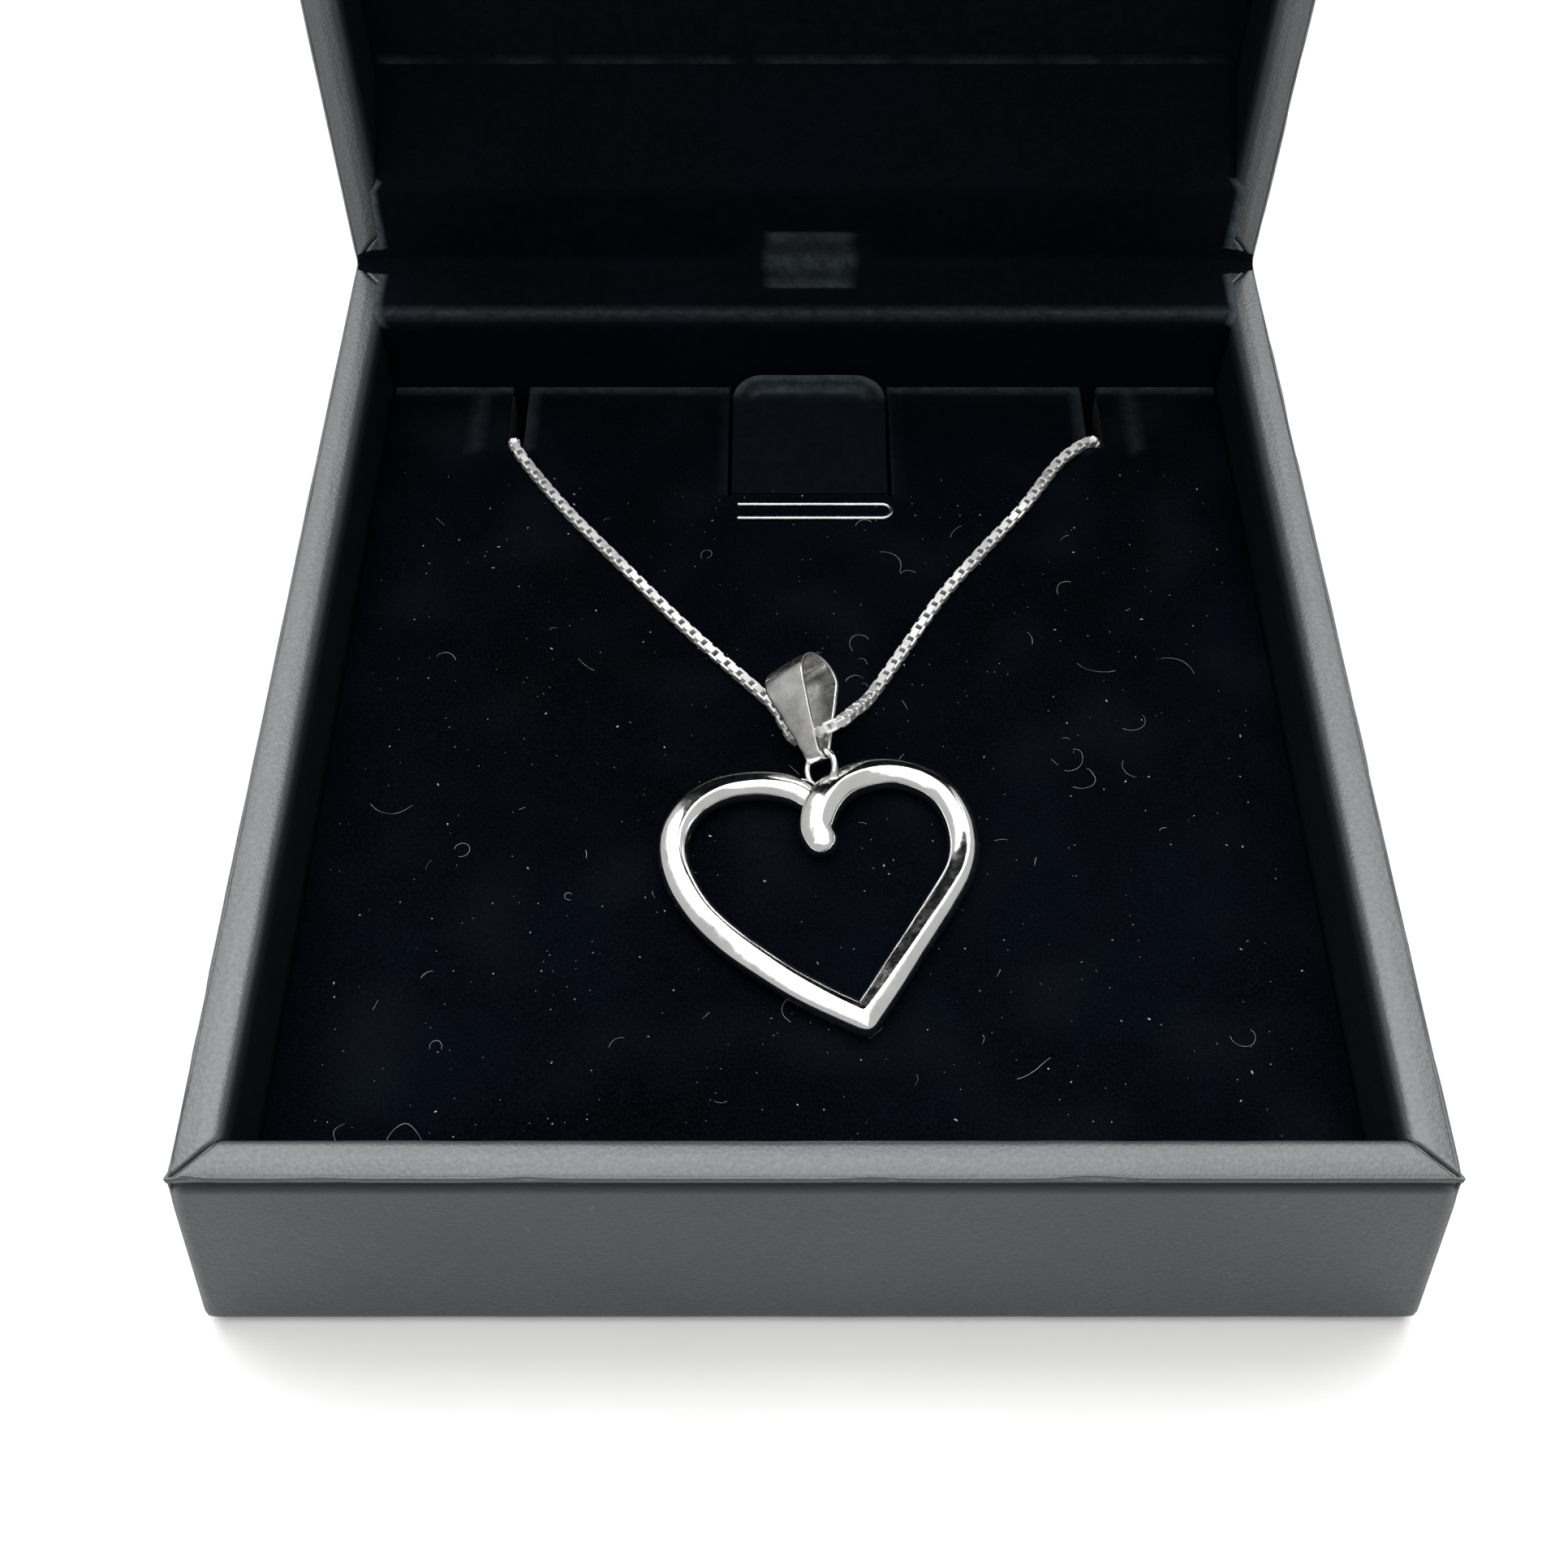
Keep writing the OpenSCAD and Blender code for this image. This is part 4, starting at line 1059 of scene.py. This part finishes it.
def makeHeart():
    spec = heartSpec
    left = smoothCurve(leftFlank, spec["steps"])
    right = smoothCurve(rightFlank, spec["steps"])
    line = left + right[1:]
    tip = len(left) - 1
    last = len(line) - 1

    def heading(i):
        if i == tip:
            return (line[i] - line[i - 1]).normalized()
        return (line[min(i + 1, last)] - line[max(i - 1, 0)]).normalized()

    def ridgeAt(i):
        if i < tip:
            return 0.35 * math.sin(math.pi * i / tip) + 0.05
        share = (i - tip) / (last - tip)
        return 0.05 - 0.30 * math.sin(math.pi * min(1, share * 1.6)) + 0.55 * max(0, share - 0.6)

    def pointAt(k, i):
        i, grow, push = ringList[i]
        flat = Vector((heading(i).x, heading(i).y, 0)).normalized()
        across = Vector((-flat.y, flat.x, 0))
        if i == tip:
            across = across - flat * math.tan(math.radians(spec["tipTurn"]))
        inside, up = ribbonSection(ridgeAt(i))[k]
        nearCurl = max(0.0, (i - tip) / (last - tip) - 0.62) / 0.38
        swell = 1 + 0.04 * noise.noise(line[i] / 4) + 0.22 * math.sin(math.pi * min(1, nearCurl * 0.9))
        offset = across * inside * spec["wide"] / 2 + Vector((0, 0, up * spec["high"] / 2))
        return line[i] + Vector((0, 0, heartMid)) + offset * grow * swell + flat * push

    startCap = [(0, 0.08, -0.75), (0, 0.45, -0.62), (0, 0.7, -0.3)]
    endCap = [(last, 0.86, 0.35), (last, 0.6, 0.8), (last, 0.1, 1.0)]
    ringList = startCap + [(i, 0.8 if i == 0 else 1.0, 0) for i in range(last + 1)] + endCap
    bm = bmesh.new()
    sectionCount = len(ribbonSection(0))
    row, _ = sweepRings(bm, sectionCount, len(ringList), pointAt, closed=True)
    bmesh.ops.holes_fill(bm, edges=[e for e in bm.edges if e.is_boundary], sides=sectionCount)
    bmesh.ops.recalc_face_normals(bm, faces=bm.faces[:])
    sharp = bm.edges.layers.float.new("crease_edge")
    for edge in bm.edges:
        a, b = edge.verts
        if a[row] == b[row]:
            edge[sharp] = sharpRows.get(a[row], 0.0)
    piece = makePiece(bm, "heartRibbon", silver, "heart")
    addSubdivision(piece, 2)
    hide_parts("heart")


makeHeart()

# bail: a tapered band folded into a loop

bailSpec = {"eye": (0.7, -8, padTop + 2.8), "tilt": 14, "yaw": 12, "roll": 45, "footRadius": 0.725,
            "topRadius": 2.275, "length": 6.1, "footWide": 1.6, "topWide": 4.2, "thick": 0.35,
            "middle": 0.6, "topSteps": 32, "footSteps": 12, "sideSteps": 9}


def bailPlace():
    spec = bailSpec
    turned = [Matrix.Rotation(math.radians(angle), 4, axis)
              for angle, axis in ((spec["yaw"], "Z"), (spec["tilt"], "X"), (-spec["roll"], "Y"))]
    return Matrix.Translation(spec["eye"]) @ (turned[0] @ turned[1] @ turned[2])


def makeBail():
    spec = bailSpec
    foot, top, length = spec["footRadius"], spec["topRadius"], spec["length"]
    turn = math.asin((top - foot) / length)
    quarter = math.pi / 2

    def arc(centre, radius, start, sweep, steps):
        angles = [start + sweep * k / steps for k in range(steps + 1)]
        return [Vector((centre + radius * math.cos(a), radius * math.sin(a))) for a in angles]

    def between(start, end):
        return [start.lerp(end, k / spec["sideSteps"]) for k in range(1, spec["sideSteps"])]

    topArc = arc(length, top, -quarter - turn, math.pi + 2 * turn, spec["topSteps"])
    footArc = arc(0, foot, quarter + turn, math.pi - 2 * turn, spec["footSteps"])
    line = topArc + between(topArc[-1], footArc[0]) + footArc + between(footArc[-1], topArc[0])
    middle = length * spec["middle"]
    shares = (-1, -0.6, 0, 0.6, 1)

    def pointAt(k, i):
        y, z = line[i % len(line)]
        grow = ease((y - 0.1) / 6.05)
        half = (spec["footWide"] + (spec["topWide"] - spec["footWide"]) * grow) / 2
        bow = 0.05 * (1 - shares[k] ** 2)
        away = Vector((y - middle, z)).normalized()
        dent = waver((y, z, shares[k]), 1.6, 0.05)
        return Vector((shares[k] * half, y + away.x * (bow + dent), z + away.y * (bow + dent)))

    bm = bmesh.new()
    sweepRings(bm, len(shares), len(line) + 1, pointAt)
    bmesh.ops.remove_doubles(bm, verts=bm.verts[:], dist=0.001)
    bmesh.ops.recalc_face_normals(bm, faces=bm.faces[:])
    outward = sum(f.normal.dot(f.calc_center_median() - Vector((0, middle, 0))) for f in bm.faces)
    if outward < 0:
        bmesh.ops.reverse_faces(bm, faces=bm.faces[:])
    piece = makePiece(bm, "bailBand", wornSilver, "bail", place=bailPlace())
    addSolidify(piece, spec["thick"], 0.0)
    addBevel(piece, 0.08, 2, 50)
    addSubdivision(piece, 1)
    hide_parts("bail")


makeBail()
print("pendant ready")

# lint on the velvet

lintSpec = {"specks": 520, "seed": 7, "small": 0.025, "large": 0.085, "fibreRadius": 0.014, "fibres": 60,
            "halfWidth": 41.1, "front": -45.1, "back": 30, "fibreSteps": 14}


def onPad(rng, margin):
    half = lintSpec["halfWidth"] - margin
    x = rng.uniform(-half, half)
    return Vector((x, rng.uniform(lintSpec["front"] + margin, lintSpec["back"] - margin), padTop))


def makeSpecks():
    spec = lintSpec
    rng = random.Random(spec["seed"])
    bm = bmesh.new()
    for _ in range(spec["specks"]):
        size = spec["small"] + (spec["large"] - spec["small"]) * rng.random() ** 4
        place = Matrix.Translation(onPad(rng, 1.5) + Vector((0, 0, 0.05 + size / 3)))
        place = place @ Matrix.Rotation(rng.uniform(0, 6.28), 4, "Z")
        place = place @ Matrix.Diagonal((size * rng.uniform(1, 2.6), size, size * 0.6, 1))
        bmesh.ops.create_icosphere(bm, subdivisions=1, radius=1, matrix=place)
    makePiece(bm, "lintSpecks", lint, "insert")


def fibreLine(rng, start, length, curl):
    heading = rng.uniform(0, 2 * math.pi)
    turn = rng.uniform(-curl, curl)
    point = Vector(start)
    line = []
    steps = lintSpec["fibreSteps"]
    for k in range(steps):
        line.append(point.copy())
        heading += (turn + rng.uniform(-0.3, 0.3) * curl) * length / steps
        point += Vector((math.cos(heading), math.sin(heading), 0)) * length / steps
        point.z = padTop + 0.12 + 0.14 * math.sin(math.pi * k / steps)
    return line


longHairs = [
    [(-35.4, -45.0, 14.4), (-35.0, -43.6, 15.6), (-35.3, -42.4, 16.0), (-34.8, -41.4, 15.2)],
    [(-31.9, -45.0, 14.5), (-31.2, -43.0, 16.2), (-29.9, -42.2, 16.9), (-28.9, -42.9, 16.4),
     (-28.5, -43.8, 15.4)]]


def makeFibres():
    rng = random.Random(lintSpec["seed"] + 1)
    lines = [fibreLine(rng, onPad(rng, 6), 0.7 + 4.0 * rng.random() ** 2.5, rng.uniform(0.5, 3.0))
             for _ in range(lintSpec["fibres"])]
    # the long hairs by the front wall stand up against it
    lines += [smoothCurve(hair, 5) for hair in longHairs]
    curve = bpy.data.curves.new("lintFibres", "CURVE")
    curve.dimensions = "3D"
    curve.bevel_depth = lintSpec["fibreRadius"] * mm
    curve.bevel_resolution = 0
    curve.use_fill_caps = True
    for line in lines:
        spline = curve.splines.new("POLY")
        spline.points.add(len(line) - 1)
        for point, place in zip(spline.points, line):
            point.co = (*(place * mm), 1)
    holder = bpy.data.objects.new("lintFibreCurve", curve)
    mesh = bpy.data.meshes.new_from_object(holder)
    bpy.data.objects.remove(holder)
    mesh.materials.clear()
    mesh.materials.append(lint)
    piece = intoScene(bpy.data.objects.new("lintFibres", mesh))
    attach(piece, "insert")


makeSpecks()
makeFibres()

# finishes of the CAD pieces

finishes = [
    (greyboard, ["base_floor", "base_hinge_block", "lid_hinge_block"]
                 + [n for n in nodes if n.endswith("_board") and n != "insert_board"]),
    (blackCard, ["insert_board", "insert_ledges", "flap_card", "lid_pad_card"]),
    (foam, ["insert_foam", "lid_pad_foam"]),
    (velvet, ["well_lining", "base_sheet"]),
    (steel, ["base_hinge_leaf", "lid_hinge_leaf", "snap_spring", "base_rivets", "lid_rivets",
             "hinge_pin", "wire_clip"]),
    (silver, ["heart_ring", "clasp_body", "clasp_ring", "end_ring", "clasp_trigger"])]
for material, names in finishes:
    for name in names:
        nodes[name].data.materials.clear()
        nodes[name].data.materials.append(material)


floorHalf = 1500


def makeFloor():
    bm = newGrid((4, 4), (floorHalf, floorHalf))
    piece = makePiece(bm, "floor", floorMaterial(), None, smooth=False)


makeFloor()
